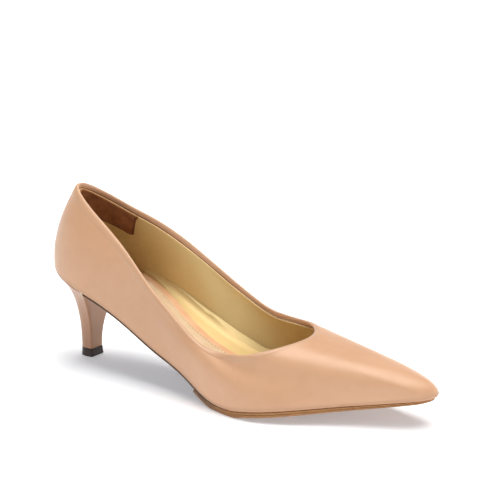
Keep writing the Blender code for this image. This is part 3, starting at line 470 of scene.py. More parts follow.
def goldLining():
    # coated lining cloth in mustard gold: brushed streaks and a dull metallic sheen, with painted
    # light across the middle of the quarter and painted shade towards the toe
    made, tree, place = newMaterial("goldCoatedLining")
    brushed = stretched(tree, place, (0.45, 1.0, 1.0))
    broad = ramp(tree, noise(tree, brushed, 24.0, 3.0, 0.55), 0.32, 0.68)
    colour = mixColour(tree, broad, gold["base"], gold["light"])
    streaks = ramp(tree, noise(tree, brushed, 2.4, 4.0, 0.7), 0.4, 0.75, 0.0, 0.30)
    colour = mixColour(tree, streaks, colour, gold["streak"])
    along = alongFoot(tree, place)
    paintedLight = ramp(tree, along, -0.085, -0.045, 0.0, 0.8)     # painted light: paler across the middle of the quarter, where the top light falls into the shoe
    colour = mixColour(tree, paintedLight, colour, gold["paintedLight"])
    # painted shade: darker towards the toe, under the vamp
    colour = mixColour(tree, ramp(tree, along, -0.010, 0.030, 0.0, 0.75), colour, gold["toe"])
    flecks = ramp(tree, noise(tree, place, 0.9, 2.0), 0.5, 0.75, 0.0, 0.2)
    colour = mixColour(tree, flecks, colour, gold["fleck"])
    bumps = bumpFrom(tree, cells(tree, place, 0.6), 0.02, bumpFrom(tree, streaks, 0.04))
    return dress(made, Base_Color=colour, Metallic=0.25, Normal=bumps,
                 Roughness=ramp(tree, streaks, 0.0, 0.30, 0.50, 0.60))


def splitEdge():
    # raw cut edge of the lining: pale, dry fibres that catch the light
    made, tree, place = newMaterial("rawLiningEdge")
    fibres = noise(tree, place, 0.7, 3.0, 0.6)
    colour = mixColour(tree, ramp(tree, fibres, 0.35, 0.65), "#D9B277", "#F2D4A2")
    return dress(made, Base_Color=colour, Roughness=0.85, Normal=bumpFrom(tree, fibres, 0.06))


def brownSuede():
    # pigskin suede, buffed: a dense nap with brushed lighter and darker clouds
    made, tree, place = newMaterial("brownSuedeNapped")
    clouds = ramp(tree, noise(tree, place, 7.0, 4.0, 0.6), 0.35, 0.65)
    colour = mixColour(tree, clouds, "#7C4B2A", "#9D6840")
    # painted shade: very dark along the patch's bottom and front borders, where it steps down onto
    # the lining
    rim = ramp(tree, attribute(tree, "rim"), 0.0, 1.0, 0.0, 0.75)
    colour = mixColour(tree, rim, colour, "#33190B")
    top = ramp(tree, attribute(tree, "top"), 0.0, 1.0, 0.0, 0.85)
    colour = mixColour(tree, top, colour, "#A87850")
    nap = noise(tree, place, 0.45, 3.0, 0.7)
    colour = mixColour(tree, ramp(tree, nap, 0.35, 0.7, 0.0, 0.5), colour, "#6A3F21")
    return dress(made, Base_Color=colour, Roughness=0.95, Normal=bumpFrom(tree, nap, 0.10),
                 Sheen_Weight=0.35, Sheen_Roughness=0.45, Sheen_Tint="#B98459",
                 Specular_IOR_Level=0.2)


def sockLeather():
    # thin peach sheepskin sock over foam: soft, matt, a little crazed
    made, tree, place = newMaterial("peachSheepskin")
    cloud = ramp(tree, noise(tree, place, 14.0, 3.0), 0.35, 0.65)
    colour = mixColour(tree, cloud, "#D9A67C", "#E4B68E")
    fine = noise(tree, place, 0.8, 4.0, 0.65)
    colour = mixColour(tree, ramp(tree, fine, 0.45, 0.75, 0.0, 0.3), colour, "#CB9670")
    return dress(made, Base_Color=colour, Roughness=0.6, Specular_IOR_Level=0.35,
                 Normal=bumpFrom(tree, fine, 0.06))


def creamWeave():
    # cream microfibre pressed with small dots, 1.3 mm apart, drawn a little coarse so that they show
    made, tree, place = newMaterial("creamMicrofibreDotted")
    flat = addNode(tree, "ShaderNodeUVMap", {"uv_map": "flat"}).outputs[0]
    dots = cells(tree, flat, 1.3, {"voronoi_dimensions": "2D"}, {"Randomness": 0.15})
    pressed = ramp(tree, dots, 0.16, 0.34)
    cloud = ramp(tree, noise(tree, place, 18.0, 3.0), 0.35, 0.65)
    colour = mixColour(tree, cloud, "#CFB18C", "#DDC2A0")
    colour = mixColour(tree, ramp(tree, pressed, 0.0, 1.0, 0.45, 0.0), colour, "#CFA87E")
    fibres = bumpFrom(tree, noise(tree, place, 0.5, 3.0, 0.6), 0.03)
    return dress(made, Base_Color=colour, Roughness=0.8, Sheen_Weight=0.2,
                 Sheen_Roughness=0.4, Normal=bumpFrom(tree, pressed, 0.08, fibres))


def dyedEdge(name, dark, light, roughness, grain):
    # leatherboard cut, dyed and burnished along its edge: thin layers, brown at the waist, tan ahead
    made, tree, place = newMaterial(name)
    plies = noise(tree, stretched(tree, place, (1.0, 1.0, 9.0)), grain, 3.0, 0.6)
    colour = mixColour(tree, ramp(tree, plies, 0.35, 0.7), dark, light)
    tan = mixColour(tree, ramp(tree, plies, 0.3, 0.75), "#8A5A2E", "#B5834E")
    colour = mixColour(tree, ramp(tree, alongFoot(tree, place), 0.004, 0.024), colour, tan)
    return dress(made, Base_Color=colour, Roughness=roughness,
                 Normal=bumpFrom(tree, plies, 0.05))


def liftRubber():
    # hard moulded heel-tip rubber, near black with a brown cast, scuffed dull along the rim
    made, tree, place = newMaterial("heelTipRubber")
    scuff = noise(tree, place, 1.6, 5.0, 0.7)
    colour = mixColour(tree, ramp(tree, scuff, 0.45, 0.75, 0.0, 0.7), "#2E1F18", "#4F392C")
    return dress(made, Base_Color=colour, Roughness=ramp(tree, scuff, 0.3, 0.7, 0.4, 0.65),
                 Specular_IOR_Level=0.4, Normal=bumpFrom(tree, scuff, 0.04))


def threadTwist(name, code, dark):
    # bonded polyester thread: twisted plies 0.3 mm apart, a dull shine
    made, tree, place = newMaterial(name)
    twist = addNode(tree, "ShaderNodeTexWave", {"bands_direction": "DIAGONAL"}, {
        "Vector": place, "Scale": 1000.0 / 0.3 / 20, "Distortion": 1.0}).outputs[1]
    colour = mixColour(tree, ramp(tree, twist, 0.0, 1.0, 0.0, 0.5), code, dark)
    return dress(made, Base_Color=colour, Roughness=0.55, Sheen_Weight=0.2,
                 Normal=bumpFrom(tree, twist, 0.04))


def plainStock(name, code, second, size, bump, roughness, metallic=0.0):
    # hidden stock such as board, cork, foam, cloth and steel: two tones and its own coarseness
    made, tree, place = newMaterial(name)
    fibre = noise(tree, place, size, 4.0, 0.65)
    colour = mixColour(tree, ramp(tree, fibre, 0.35, 0.65), code, second)
    return dress(made, Base_Color=colour, Roughness=roughness, Metallic=metallic,
                 Normal=bumpFrom(tree, fibre, bump))


calfSkin = calfLeather("calfLeatherWaxed", calf)
# the heel cover's calf, darkened as painted shade
heelSkinShaded = calfLeather("calfLeatherHeelShaded", heelCalfShaded)
liningGold = goldLining()
liningEdge = splitEdge()
suedeBrown = brownSuede()
sockPeach = sockLeather()
panelCream = creamWeave()
soleBrown = dyedEdge("leatherboardEdgeDyed", "#4E3320", "#6B4A30", 0.5, 3.0)
treadBrown = dyedEdge("treadSheetMoulded", "#7C5636", "#9A7048", 0.55, 2.5)
tipRubber = liftRubber()
sockThread = threadTwist("sockThreadBonded", "#B98D68", "#8C6243")
gripThread = threadTwist("gripThreadBonded", "#6B3F24", "#3E2212")
print("materials made")


# Shapes that go round the foot as one closed outline repeated column by column

shell = {"columns": 480, "wallRows": 46, "bandBulge": 0.22, "bandNarrow": 3.0, "bandAtHeel": 5.2,
         "rollHeight": 2.4, "foldDepth": 6.0, "seamGroove": 0.32, "seamHalf": 0.45,
         "notch": 0.7, "margin": 14.0, "corner": 1.6}


def ringColumns():
    even = np.arange(shell["columns"]) * 2 / shell["columns"]
    extra = np.array([-0.0034, -0.0023, -0.0012, 0.0012, 0.0023, 0.0034])   # beside the back seam
    return np.sort(np.mod(np.concatenate([even, extra]), 2.0))


arounds = ringColumns()


def marginReach(around, width):
    foot = controlAt(0, around)[:, :2]
    return np.minimum(width, 0.62 * np.linalg.norm(middleUnder(foot) - foot, axis=1))


def buildUpper():
    rows, count, corner = [], shell["wallRows"], shell["corner"]
    skinDepth, foldDepth = layers["leather"], layers["folded"]
    way = sideAndWay(arounds)[1]
    atHeel = 1 - smoothStep(way, 0.0, 0.45)
    band = shell["bandNarrow"] + (shell["bandAtHeel"] - shell["bandNarrow"]) * atHeel
    seam = np.exp(-((controlAt(3, arounds)[:, 1] - heelY) / shell["seamHalf"]) ** 2) * (way < 0.2)
    groove = shell["seamGroove"] * seam
    roll = shell["rollHeight"]
    half = (foldDepth + shell["bandBulge"]) / 2
    middle = (foldDepth - shell["bandBulge"]) / 2

    def placesOf(length):
        rows.clear()
        top = length - shell["notch"] * seam

        def row(place, depth, **marks):
            rows.append((place, depth + 0 * length, marks))

        def outside(under, **marks):  # the folded band stands a little proud of the wall
            bulge = shell["bandBulge"] * (1 - smoothStep(under, band, band + 0.9))
            row(top - under, groove - bulge, **marks)

        for k in range(count):
            part = (k / (count - 1)) ** 0.9
            place = corner + (length - band - 2 * corner) * part
            # these marks, also kept under the foot, place the painted shade along the feather line
            row(place, groove, hem=0.8 * (1 - smoothStep(place, corner, corner + 2.0)))
        for share in (0.82, 0.64, 0.48, 0.32, 0.16, 0.0):
            # the edge marks place the painted highlight on the rolled topline
            outside(band + 1.6 * share - 0.1, edge=1 - share)
        for share in (0.75, 0.5, 0.25):
            outside(roll + (band - roll) * share - 0.05, edge=1.0)
        for k in range(13):           # over the top in a half circle
            angle = math.pi * k / 12
            row(top - roll + roll * math.sin(angle), middle - half * math.cos(angle)
                + groove * (k < 4), edge=1.0 - 0.4 * (k > 7))
        # the groove marks place that painted shade on the fold's inner face
        row(top - roll - 0.6, foldDepth, groove=0.8)
        row(top - roll - 1.4, foldDepth, groove=1.0)
        row(length - shell["foldDepth"], foldDepth, groove=1.0)
        row(length - shell["foldDepth"] - 0.3, skinDepth, groove=1.0)
        for part in (0.85, 0.68, 0.5, 0.33, 0.17, 0.0):
            row(2.4 + (length - shell["foldDepth"] - 3.0) * part, skinDepth, groove=1.0)
        return np.stack([r[0] for r in rows], 1)

    points, normals = wallRows(arounds, placesOf)
    wall = points - normals * np.stack([r[1] for r in rows], 1)[..., None]
    feather = skinAt(arounds, np.zeros((len(arounds), 1)))[:, 0]
    low = underFoot(arounds, corner, 0.0)
    reach = marginReach(arounds, shell["margin"])
    under = [underFoot(arounds, inset, lift) for inset, lift in (
        (1.4, skinDepth), (reach * 0.5, skinDepth), (reach - 0.3, skinDepth),
        (reach, skinDepth * 0.7), (reach, skinDepth * 0.3), (reach - 0.3, 0.0),
        (reach * 0.5, 0.0))]
    for k in range(6):                # the pulled-over corner above the sole
        t = k / 6
        under.append(low * (1 - t) ** 2 + feather * 2 * t * (1 - t) + wall[:, 0] * t * t)
    outline = np.concatenate([wall, np.stack(under, 1)], axis=1)
    marks = {}
    for name in ("edge", "hem", "groove"):
        columns = [np.broadcast_to(r[2].get(name, 0.0), len(arounds)) for r in rows]
        tail = [np.full(len(arounds), 0.8 if name == "hem" else 0.0)] * len(under)
        marks[name] = np.stack(columns + tail, 1)
    upper = makePiece("upper", outline, bandFaces(*outline.shape[:2]), calfSkin, marks=marks)
    return keepOn(upper, ["upper_leather"])


liningFit = {"below": 3.0, "outerRows": 26, "innerRows": 34, "margin": 12.0, "under": 2.3,
             "over": 1.5}


def buildLining():
    outer, inner = layers["liningOut"], layers["liningIn"]
    edge = ((-0.06, outer + 0.12), (0.0, outer + 0.3), (0.0, inner - 0.25), (-0.10, inner - 0.06))
    rows = []

    def placesOf(length):
        rows.clear()
        top = length - liningFit["below"]
        for part in np.linspace(0, 1, liningFit["outerRows"]):
            rows.append((2.0 + (top - 2.25) * part, outer))
        rows.extend((top + place, depth) for place, depth in edge)
        for part in np.linspace(1, 0, liningFit["innerRows"]):
            rows.append((3.2 + (top - 3.55) * part, inner))
        return np.stack([r[0] for r in rows], 1)

    points, normals = wallRows(arounds, placesOf)
    wall = points - normals * np.array([r[1] for r in rows])[None, :, None]
    reach = marginReach(arounds, liningFit["margin"])
    low, high = liningFit["under"], liningFit["over"]
    under = [underFoot(arounds, inset, lift) for inset, lift in (
        (4.6, low), (reach * 0.75, low), (reach, low), (reach, high), (reach * 0.75, high),
        (3.0, high))]
    outline = np.concatenate([wall, np.stack(under, 1)], axis=1)
    count, size = outline.shape[:2]
    first = liningFit["outerRows"] - 1
    look = [1 if first <= k <= first + len(edge) else 0 for i in range(count)
            for k in range(size)]
    piece = makePiece("upperLining", outline, bandFaces(count, size),
                      [liningGold, liningEdge], faceLooks=look)
    keepOn(piece, ["upper_lining"])


# the heel patch lies on the lining: its lower front corners are cut round, its front slopes
grip = {"half": 0.280, "lean": 0.085, "corner": 0.036, "columns": 150, "rows": 30,
        "round": 6.5, "thick": 0.75, "rim": 0.22, "lowShare": 0.60, "lowStart": 8.5,
        "top": 2.75, "leanFrom": 0.6, "reach": 0.36}


def gripLow(length, around):          # how high up the wall the patch begins
    start = np.clip((np.abs(around) - grip["half"] + grip["corner"]) / grip["corner"], 0, 1)
    rounded = grip["round"] * (1 - np.sqrt(1 - start ** 2))
    return grip["lowStart"] + grip["lowShare"] * (length - 14.5) + rounded


def buildGrip():
    places = grip["half"] * np.sin(np.linspace(-1, 1, grip["columns"]) * math.pi / 2)
    rise = np.linspace(0, 1, grip["rows"])
    base = np.linspace(-grip["reach"], grip["reach"], 220)

    def placesOf(length):
        low = gripLow(length, base)
        return low[:, None] + (length - grip["top"] - low)[:, None] * rise[None, :]

    points, normals = wallRows(base, placesOf)
    skin = points - normals * layers["gripOut"]
    widen = 1 + grip["lean"] * (rise - grip["leanFrom"])
    skin = np.stack([np.stack([np.interp(places * widen[k], base, skin[:, k, axis])
                               for axis in range(3)], -1) for k in range(grip["rows"])], 1)
    columns, rows = skin.shape[:2]
    faces = [(i * rows + k, (i + 1) * rows + k, (i + 1) * rows + k + 1, i * rows + k + 1)
             for i in range(columns - 1) for k in range(rows - 1)]
    down = rise[None, :] * np.ones((columns, 1))
    side = (1 - np.abs(places) / grip["half"])[:, None] * np.ones((1, rows))
    # rim marks the painted shade along the patch's bottom and front borders
    rim = np.maximum(1 - smoothStep(down, 0.0, 0.07), 1 - smoothStep(side, 0.0, 0.035))
    top = smoothStep(down, 0.955, 0.985)
    patch = makePiece("heelGrip", skin, faces, suedeBrown, marks={"rim": rim, "top": top})
    facing = Vector(patch.data.vertices[0].normal).dot(Vector((normals[0, 0])))
    thicken = patch.modifiers.new("thicken", "SOLIDIFY")
    thicken.thickness = grip["thick"] * mm
    thicken.offset = -1.0 if facing > 0 else 1.0
    soften = patch.modifiers.new("rim", "BEVEL")
    soften.width = grip["rim"] * mm
    soften.segments = 3
    soften.limit_method = "ANGLE"
    keepOn(patch, ["heel_grip"])


upper = buildUpper()
print("upper shaped:", len(upper.data.vertices), "points")
buildLining()
buildGrip()
print("lining and heel grip shaped")


# Flat layers under the foot: stations along the foot, each a closed outline across it

def wallBorder(depth, height):        # where the wall's inside stands this high over the sheet
    steps = np.arange(60)
    points, normals = wallRows(
        arounds, lambda length: np.tile(np.linspace(1.5, 22.0, 60), (len(arounds), 1)))
    inside = points - normals * depth
    rise = inside[..., 2] - sheetHeight(inside[..., 0], inside[..., 1])
    found = []
    for i in range(len(arounds)):
        spot = np.interp(height, np.maximum.accumulate(rise[i]), steps)
        found.append([np.interp(spot, steps, inside[i, :, axis]) for axis in (0, 1)])
    return smoothRing(np.array(found), 1.0)


def insetLoop(loop, inset):
    along = np.roll(loop, -1, 0) - np.roll(loop, 1, 0)
    along /= np.linalg.norm(along, axis=1, keepdims=True)
    inward = np.stack([-along[:, 1], along[:, 0]], -1)
    return smoothRing(loop + inward * inset, 2.0)


def sidesOf(loop):                    # y of the outer and the inner border over x
    side = sideAndWay(arounds)[0]
    sides = []
    for sign in (-1, 1):
        half = loop[(side == sign) | (arounds == 0)]
        half = half[np.argsort(half[:, 0])]
        sides.append((half[:, 0], half[:, 1]))
    return sides


def loopEnds(loop):
    return loop[:, 0].min(), loop[:, 0].max()


def stationsBetween(start, end, count, bothDense=False):
    t = np.linspace(0, 1, count)
    if bothDense:
        return start + (end - start) * evenTurn(t)
    return start + (end - start) * (1 - np.cos(np.pi * t / 2)) ** 1.2


def layeredPlate(name, stations, lowLoop, highLoop, low, high, look, across, corner, crown=None,
                 floor=None):
    lowSides, highSides = sidesOf(lowLoop), sidesOf(highLoop)
    u = np.sin(np.linspace(-1, 1, across) * math.pi / 2)
    outlines = []
    for x in stations:
        under = [np.interp(x, *side) for side in lowSides]
        over = [np.interp(x, *side) for side in highSides]
        width = max(over[1] - over[0], 0.02)
        y = over[0] + (u + 1) / 2 * width
        edge = np.clip(1 - (1 - np.abs(u)) * width / 2 / corner, 0, 1)
        rounded = corner * (1 - np.sqrt(1 - edge ** 2))
        top = (high(x) if callable(high) else high) - rounded
        base = low(x) if callable(low) else low
        if crown is not None:
            top = top + crown(np.full_like(u, x), y, u)
        lower = under[0] + (u + 1) / 2 * max(under[1] - under[0], 0.02)
        upside = onSheet(np.full_like(y, x), y, top)
        base = base + 0.6 * rounded * (base < 0)
        downside = onSheet(np.full_like(y, x), lower[::-1], base[::-1])
        outlines.append(np.concatenate([upside, downside]))
    points = np.array(outlines)
    if floor is not None:
        points[..., 2] = floor(points[..., 2])
    count, size = points.shape[:2]
    faces = bandFaces(count, size, closed=False) + endFaces(count, size, across)
    return makePiece(name, points, faces, look)


pads = {"sockReach": 99.0, "panelReach": 79.6, "border": 5.6, "swell": 0.25, "panelCrown": 0.45,
        "dimples": 0.10, "swing": 12.0, "swingFrom": -78.0, "swingTo": -12.0, "swingBack": 7.0,
        "cove": 4.5, "coveRows": 26, "lowHeight": 5.2, "wallHeight": 7.3, "sockUnder": 4.7,
        "frontUnder": 4.9, "overlap": 0.9, "frontSink": 0.25}


def softWaves(x, y):                  # foam gives a little, so no pad lies perfectly even
    return (np.sin(x / 9.3 + 0.7) * np.cos(y / 7.1 + 0.4) + 0.6 * np.sin(x / 5.2 - y / 8.7 + 2.0)
            + 0.4 * np.cos(x / 3.9 + y / 4.6))


def sockSwing(x):                     # how far the peach sock's inner border leaves the wall
    return (pads["swing"] * smoothStep(x, pads["swingFrom"], pads["swingTo"])
            - pads["swingBack"] * smoothStep(x, pads["swingTo"], pads["sockReach"]))


def buildSock():
    cove, rows = pads["cove"], pads["coveRows"]
    lowLoop = wallBorder(layers["liningIn"] + 0.55, pads["lowHeight"])
    highLoop = wallBorder(layers["liningIn"] + 0.15, pads["wallHeight"])
    coveLoop = wallBorder(layers["liningIn"] + 0.12, pads["wallHeight"] + cove)
    innerSide = sideAndWay(arounds)[0] > 0
    start = max(loopEnds(lowLoop)[0], loopEnds(highLoop)[0]) + 0.05

    def swung(loop):
        moved = loop.copy()
        moved[:, 1] = loop[:, 1] - sockSwing(loop[:, 0]) * innerSide
        return moved

    def crown(x, y, u, swell=pads["swell"], calmOver=0.25):
        calm = smoothStep(1 - np.abs(u), 0.0, calmOver)
        return calm * (swell * (1 - u * u) + pads["dimples"] * softWaves(x, y))

    stations = stationsBetween(start, pads["sockReach"], 150)
    sock = layeredPlate("sock", stations, swung(lowLoop), swung(highLoop),
                        pads["sockUnder"], layers["sockHigh"], sockPeach, 44, 0.9, crown)
    keepOn(sock, ["sock_lining", "sock_foam"])

    # gold front of the sock: fills what the peach leaves and curls up the inner wall
    peachSide, wallSide, lowSide = [sidesOf(loop)[1] for loop in (swung(highLoop), coveLoop, lowLoop)]
    outlines = []
    for x in stationsBetween(pads["swingFrom"], pads["sockReach"], 120, True):
        near = np.interp(x, *peachSide) - pads["overlap"]
        far = np.interp(x, *wallSide)
        y = near + (far - near) * np.sin(np.linspace(0, 1, rows) * math.pi / 2)
        part = np.clip(1 - (far - y) / (cove * 1.5), 0, 1)
        lift = layers["sockHigh"] - pads["frontSink"] + (cove + 0.2) * (
            1 - np.sqrt(1 - part ** 2))
        foot = np.linspace(min(far, np.interp(x, *lowSide)), near, rows)
        outlines.append(np.concatenate([onSheet(np.full(rows, x), y, lift),
                                        onSheet(np.full(rows, x), foot, pads["frontUnder"])]))
    points = np.array(outlines)
    count, size = points.shape[:2]
    faces = bandFaces(count, size, closed=False) + endFaces(count, size, rows)
    front = makePiece("sockFront", points, faces, liningGold)
    keepOn(front, ["sock_lining"])

    panelLoop = insetLoop(swung(highLoop), pads["border"])
    begin = loopEnds(panelLoop)[0] + 0.02

    def panelCrown(x, y, u):
        return crown(x, y, u, pads["panelCrown"], 0.35)

    stations = stationsBetween(begin, pads["panelReach"], 140)
    panel = layeredPlate("sockPanel", stations, panelLoop, panelLoop, layers["sockHigh"] - 0.5,
                         layers["panelHigh"], panelCream, 40, 0.45, panelCrown)
    flat = panel.data.uv_layers.new(name="flat")
    spots = np.zeros(len(panel.data.vertices) * 3)
    panel.data.vertices.foreach_get("co", spots)
    corners = np.zeros(len(panel.data.loops), int)
    panel.data.loops.foreach_get("vertex_index", corners)
    flat.data.foreach_set("uv", spots.reshape(-1, 3)[corners, :2].ravel())
    keepOn(panel, ["sock_panel"])
    return panelLoop, panelCrown


soles = {"cutFrom": 80.0, "cutOver": 40.0, "noseGap": 2.1, "across": 30, "corner": 0.25}


def pressedFlat(z):                   # the tread's lowest part is worn level with the ground
    return np.interp(z, (-3.0, 0.0, 0.4, 1.3, 200.0), (0.0, 0.0, 0.0, 1.3, 200.0))


def soleDepth(x):                     # thin at the waist, full at the ball, thin again at the toe
    return -np.interp(x, (-90.0, -20.0, 5.0, 70.0, 119.0), (1.05, 1.15, 1.4, 1.15, 0.7))


def treadDepth(x):
    return -np.interp(x, (-10.0, 5.0, 40.0, 80.0, 119.0), (2.9, 2.9, 2.9, 2.3, 1.5))


def buildSoles():
    nose = tipX - soles["noseGap"]

    def cutLoop(inset, end):          # the sole stops a little behind the upper's nose
        loop = underFoot(arounds, inset, 0.0)[:, :2]
        share = np.clip((loop[:, 0] - soles["cutFrom"]) / soles["cutOver"], 0, 1)
        loop[:, 0] -= (loopEnds(loop)[1] - end) * share
        return loop

    border = cutLoop(layers["soleInset"], nose)
    stations = stationsBetween(breastX + 1.0, nose - 0.05, 220, True)
    outsole = layeredPlate("outsole", stations, border, border, soleDepth, -0.06,
                           soleBrown, soles["across"], soles["corner"])
    keepOn(outsole, ["outsole"])
    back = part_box("forepart_tread")[0].x / mm
    rim = cutLoop(layers["soleInset"] + 0.2, nose - 0.2)
    stations = stationsBetween(back, nose - 0.25, 160, True)
    tread = layeredPlate("foreTread", stations, rim, rim, treadDepth,
                         lambda x: soleDepth(x) - 0.04, treadBrown, soles["across"],
                         soles["corner"], floor=pressedFlat)
    keepOn(tread, ["forepart_tread"])


panelLoop, panelCrown = buildSock()
print("sock and panel shaped")
buildSoles()
print("soles shaped")


# Geometry nodes: the heel block's loft and the stitch rows

def newTree(name, inputs):
    tree = bpy.data.node_groups.new(name, "GeometryNodeTree")
    tree.interface.new_socket("Geometry", in_out="INPUT", socket_type="NodeSocketGeometry")
    for label, kind in inputs.items():
        tree.interface.new_socket(label, in_out="INPUT", socket_type="NodeSocket" + kind)
    tree.interface.new_socket("Geometry", in_out="OUTPUT", socket_type="NodeSocketGeometry")
    return tree, tree.nodes.new("NodeGroupInput").outputs


def closeTree(tree, geometry, material):
    whole = addNode(tree, "GeometryNodeRealizeInstances", {}, {0: geometry})
    painted = addNode(tree, "GeometryNodeSetMaterial", {}, {
        "Geometry": whole.outputs[0], "Material": material})
    addNode(tree, "NodeGroupOutput", {}, {0: painted.outputs[0]})


def growWith(piece, tree, values):
    grown = piece.modifiers.new(tree.name, "NODES")
    grown.node_group = tree
    for item in tree.interface.items_tree:
        if item.in_out == "INPUT" and item.name in values:
            grown[item.identifier] = values[item.name]
    bpy.context.view_layer.update()
    graph = bpy.context.evaluated_depsgraph_get()
    mesh = bpy.data.meshes.new_from_object(piece.evaluated_get(graph))
    piece.modifiers.clear()
    old = piece.data
    piece.data = mesh
    bpy.data.meshes.remove(old)
    mesh.name = piece.name
    return piece


def maths(tree, operation, *values):
    return addNode(tree, "ShaderNodeMath", {"operation": operation},
                   dict(enumerate(values))).outputs[0]


def scaled(tree, vector, scale):
    return addNode(tree, "ShaderNodeVectorMath", {"operation": "SCALE"},
                   {0: vector, "Scale": scale}).outputs[0]


def added(tree, first, second):
    return addNode(tree, "ShaderNodeVectorMath", {"operation": "ADD"},
                   {0: first, 1: second}).outputs[0]


def zOf(tree, vector):
    return addNode(tree, "ShaderNodeSeparateXYZ", {}, {0: vector}).outputs[2]


heel = {"sidePoints": 84, "breastPoints": 36, "rows": 72, "back": 20.0, "length": 10.2,
        "half": 5.2, "straight": 0.42, "inset": 0.4, "seatLift": -0.04, "foot": 5.2,
        "rise": 0.62, "spreadBack": 0.30, "spreadBreast": 0.24, "dropBack": 0.13,
        "dropBreast": 0.14, "softness": 3.0}


def tipOutline(grow, sidePoints, breastPoints):
    back, front = heel["back"] - grow, heel["back"] + heel["length"] + grow
    half, straight = heel["half"] + grow, heel["straight"] * heel["length"]
    t = np.linspace(0, 1, sidePoints + 1)
    angle = np.maximum(t - 0.25, 0) / 0.75 * math.pi / 2
    x = np.where(t < 0.25, front - straight * t / 0.25,
                 front - straight - (front - straight - back) * np.sin(angle))
    y = -half * np.cos(angle)
    breast = np.linspace(half, -half, breastPoints + 2)[1:-1]
    outline = np.concatenate([np.stack([x, y], -1), np.stack([x, -y], -1)[-2::-1],
                              np.stack([np.full(breastPoints, front), breast], -1)])
    return outline + [lastBack, heelY]


def heelTree():
    tree, given = newTree("heelLoft", {
        "Points": "Int", "Rows": "Int", "Rise": "Float", "Material": "Material"})
    columns = maths(tree, "ADD", given["Points"], 1.0)
    grid = addNode(tree, "GeometryNodeMeshGrid", {}, {
        "Vertices X": columns, "Vertices Y": given["Rows"]})
    index = addNode(tree, "GeometryNodeInputIndex").outputs[0]
    column = maths(tree, "FLOOR", maths(tree, "DIVIDE", maths(tree, "ADD", index, 0.5),
                                        given["Rows"]))
    row = maths(tree, "SUBTRACT", index, maths(tree, "MULTIPLY", column, given["Rows"]))
    t = maths(tree, "DIVIDE", row, maths(tree, "SUBTRACT", given["Rows"], 1.0))
    turn = maths(tree, "MODULO", column, given["Points"])
    place = addNode(tree, "GeometryNodeInputPosition").outputs[0]

    def picked(value, kind, number):
        return addNode(tree, "GeometryNodeSampleIndex", {"data_type": kind}, {
            "Geometry": given["Geometry"], "Value": value, "Index": number}).outputs[0]

    handle = addNode(tree, "GeometryNodeInputNamedAttribute", {"data_type": "FLOAT_VECTOR"}, {
        "Name": "handle"}).outputs[0]
    seat = picked(place, "FLOAT_VECTOR", turn)
    nearSeat = picked(handle, "FLOAT_VECTOR", turn)
    tip = picked(place, "FLOAT_VECTOR", maths(tree, "ADD", turn, given["Points"]))
    height = maths(tree, "MULTIPLY", given["Rise"],
                   maths(tree, "SUBTRACT", zOf(tree, seat), zOf(tree, tip)))
    nearTip = added(tree, tip, addNode(
        tree, "ShaderNodeCombineXYZ", {}, {"Z": height}).outputs[0])
    rest = maths(tree, "SUBTRACT", 1.0, t)

    def inner(single, double):        # a Bezier share, 3 * single * double squared
        squared = maths(tree, "MULTIPLY", double, double)
        return maths(tree, "MULTIPLY", 3.0, maths(tree, "MULTIPLY", single, squared))

    total = scaled(tree, tip, maths(tree, "POWER", rest, 3.0))
    for share, spot in ((inner(t, rest), nearTip), (inner(rest, t), nearSeat),
                        (maths(tree, "POWER", t, 3.0), seat)):
        total = added(tree, total, scaled(tree, spot, share))
    shaped = addNode(tree, "GeometryNodeSetPosition", {}, {
        "Geometry": grid.outputs[0], "Position": total})
    joined = addNode(tree, "GeometryNodeMergeByDistance", {}, {
        "Geometry": shaped.outputs[0], "Distance": 0.000005})
    smooth = addNode(tree, "GeometryNodeSetShadeSmooth", {}, {"Geometry": joined.outputs[0]})
    closeTree(tree, smooth.outputs[0], given["Material"])
    return tree


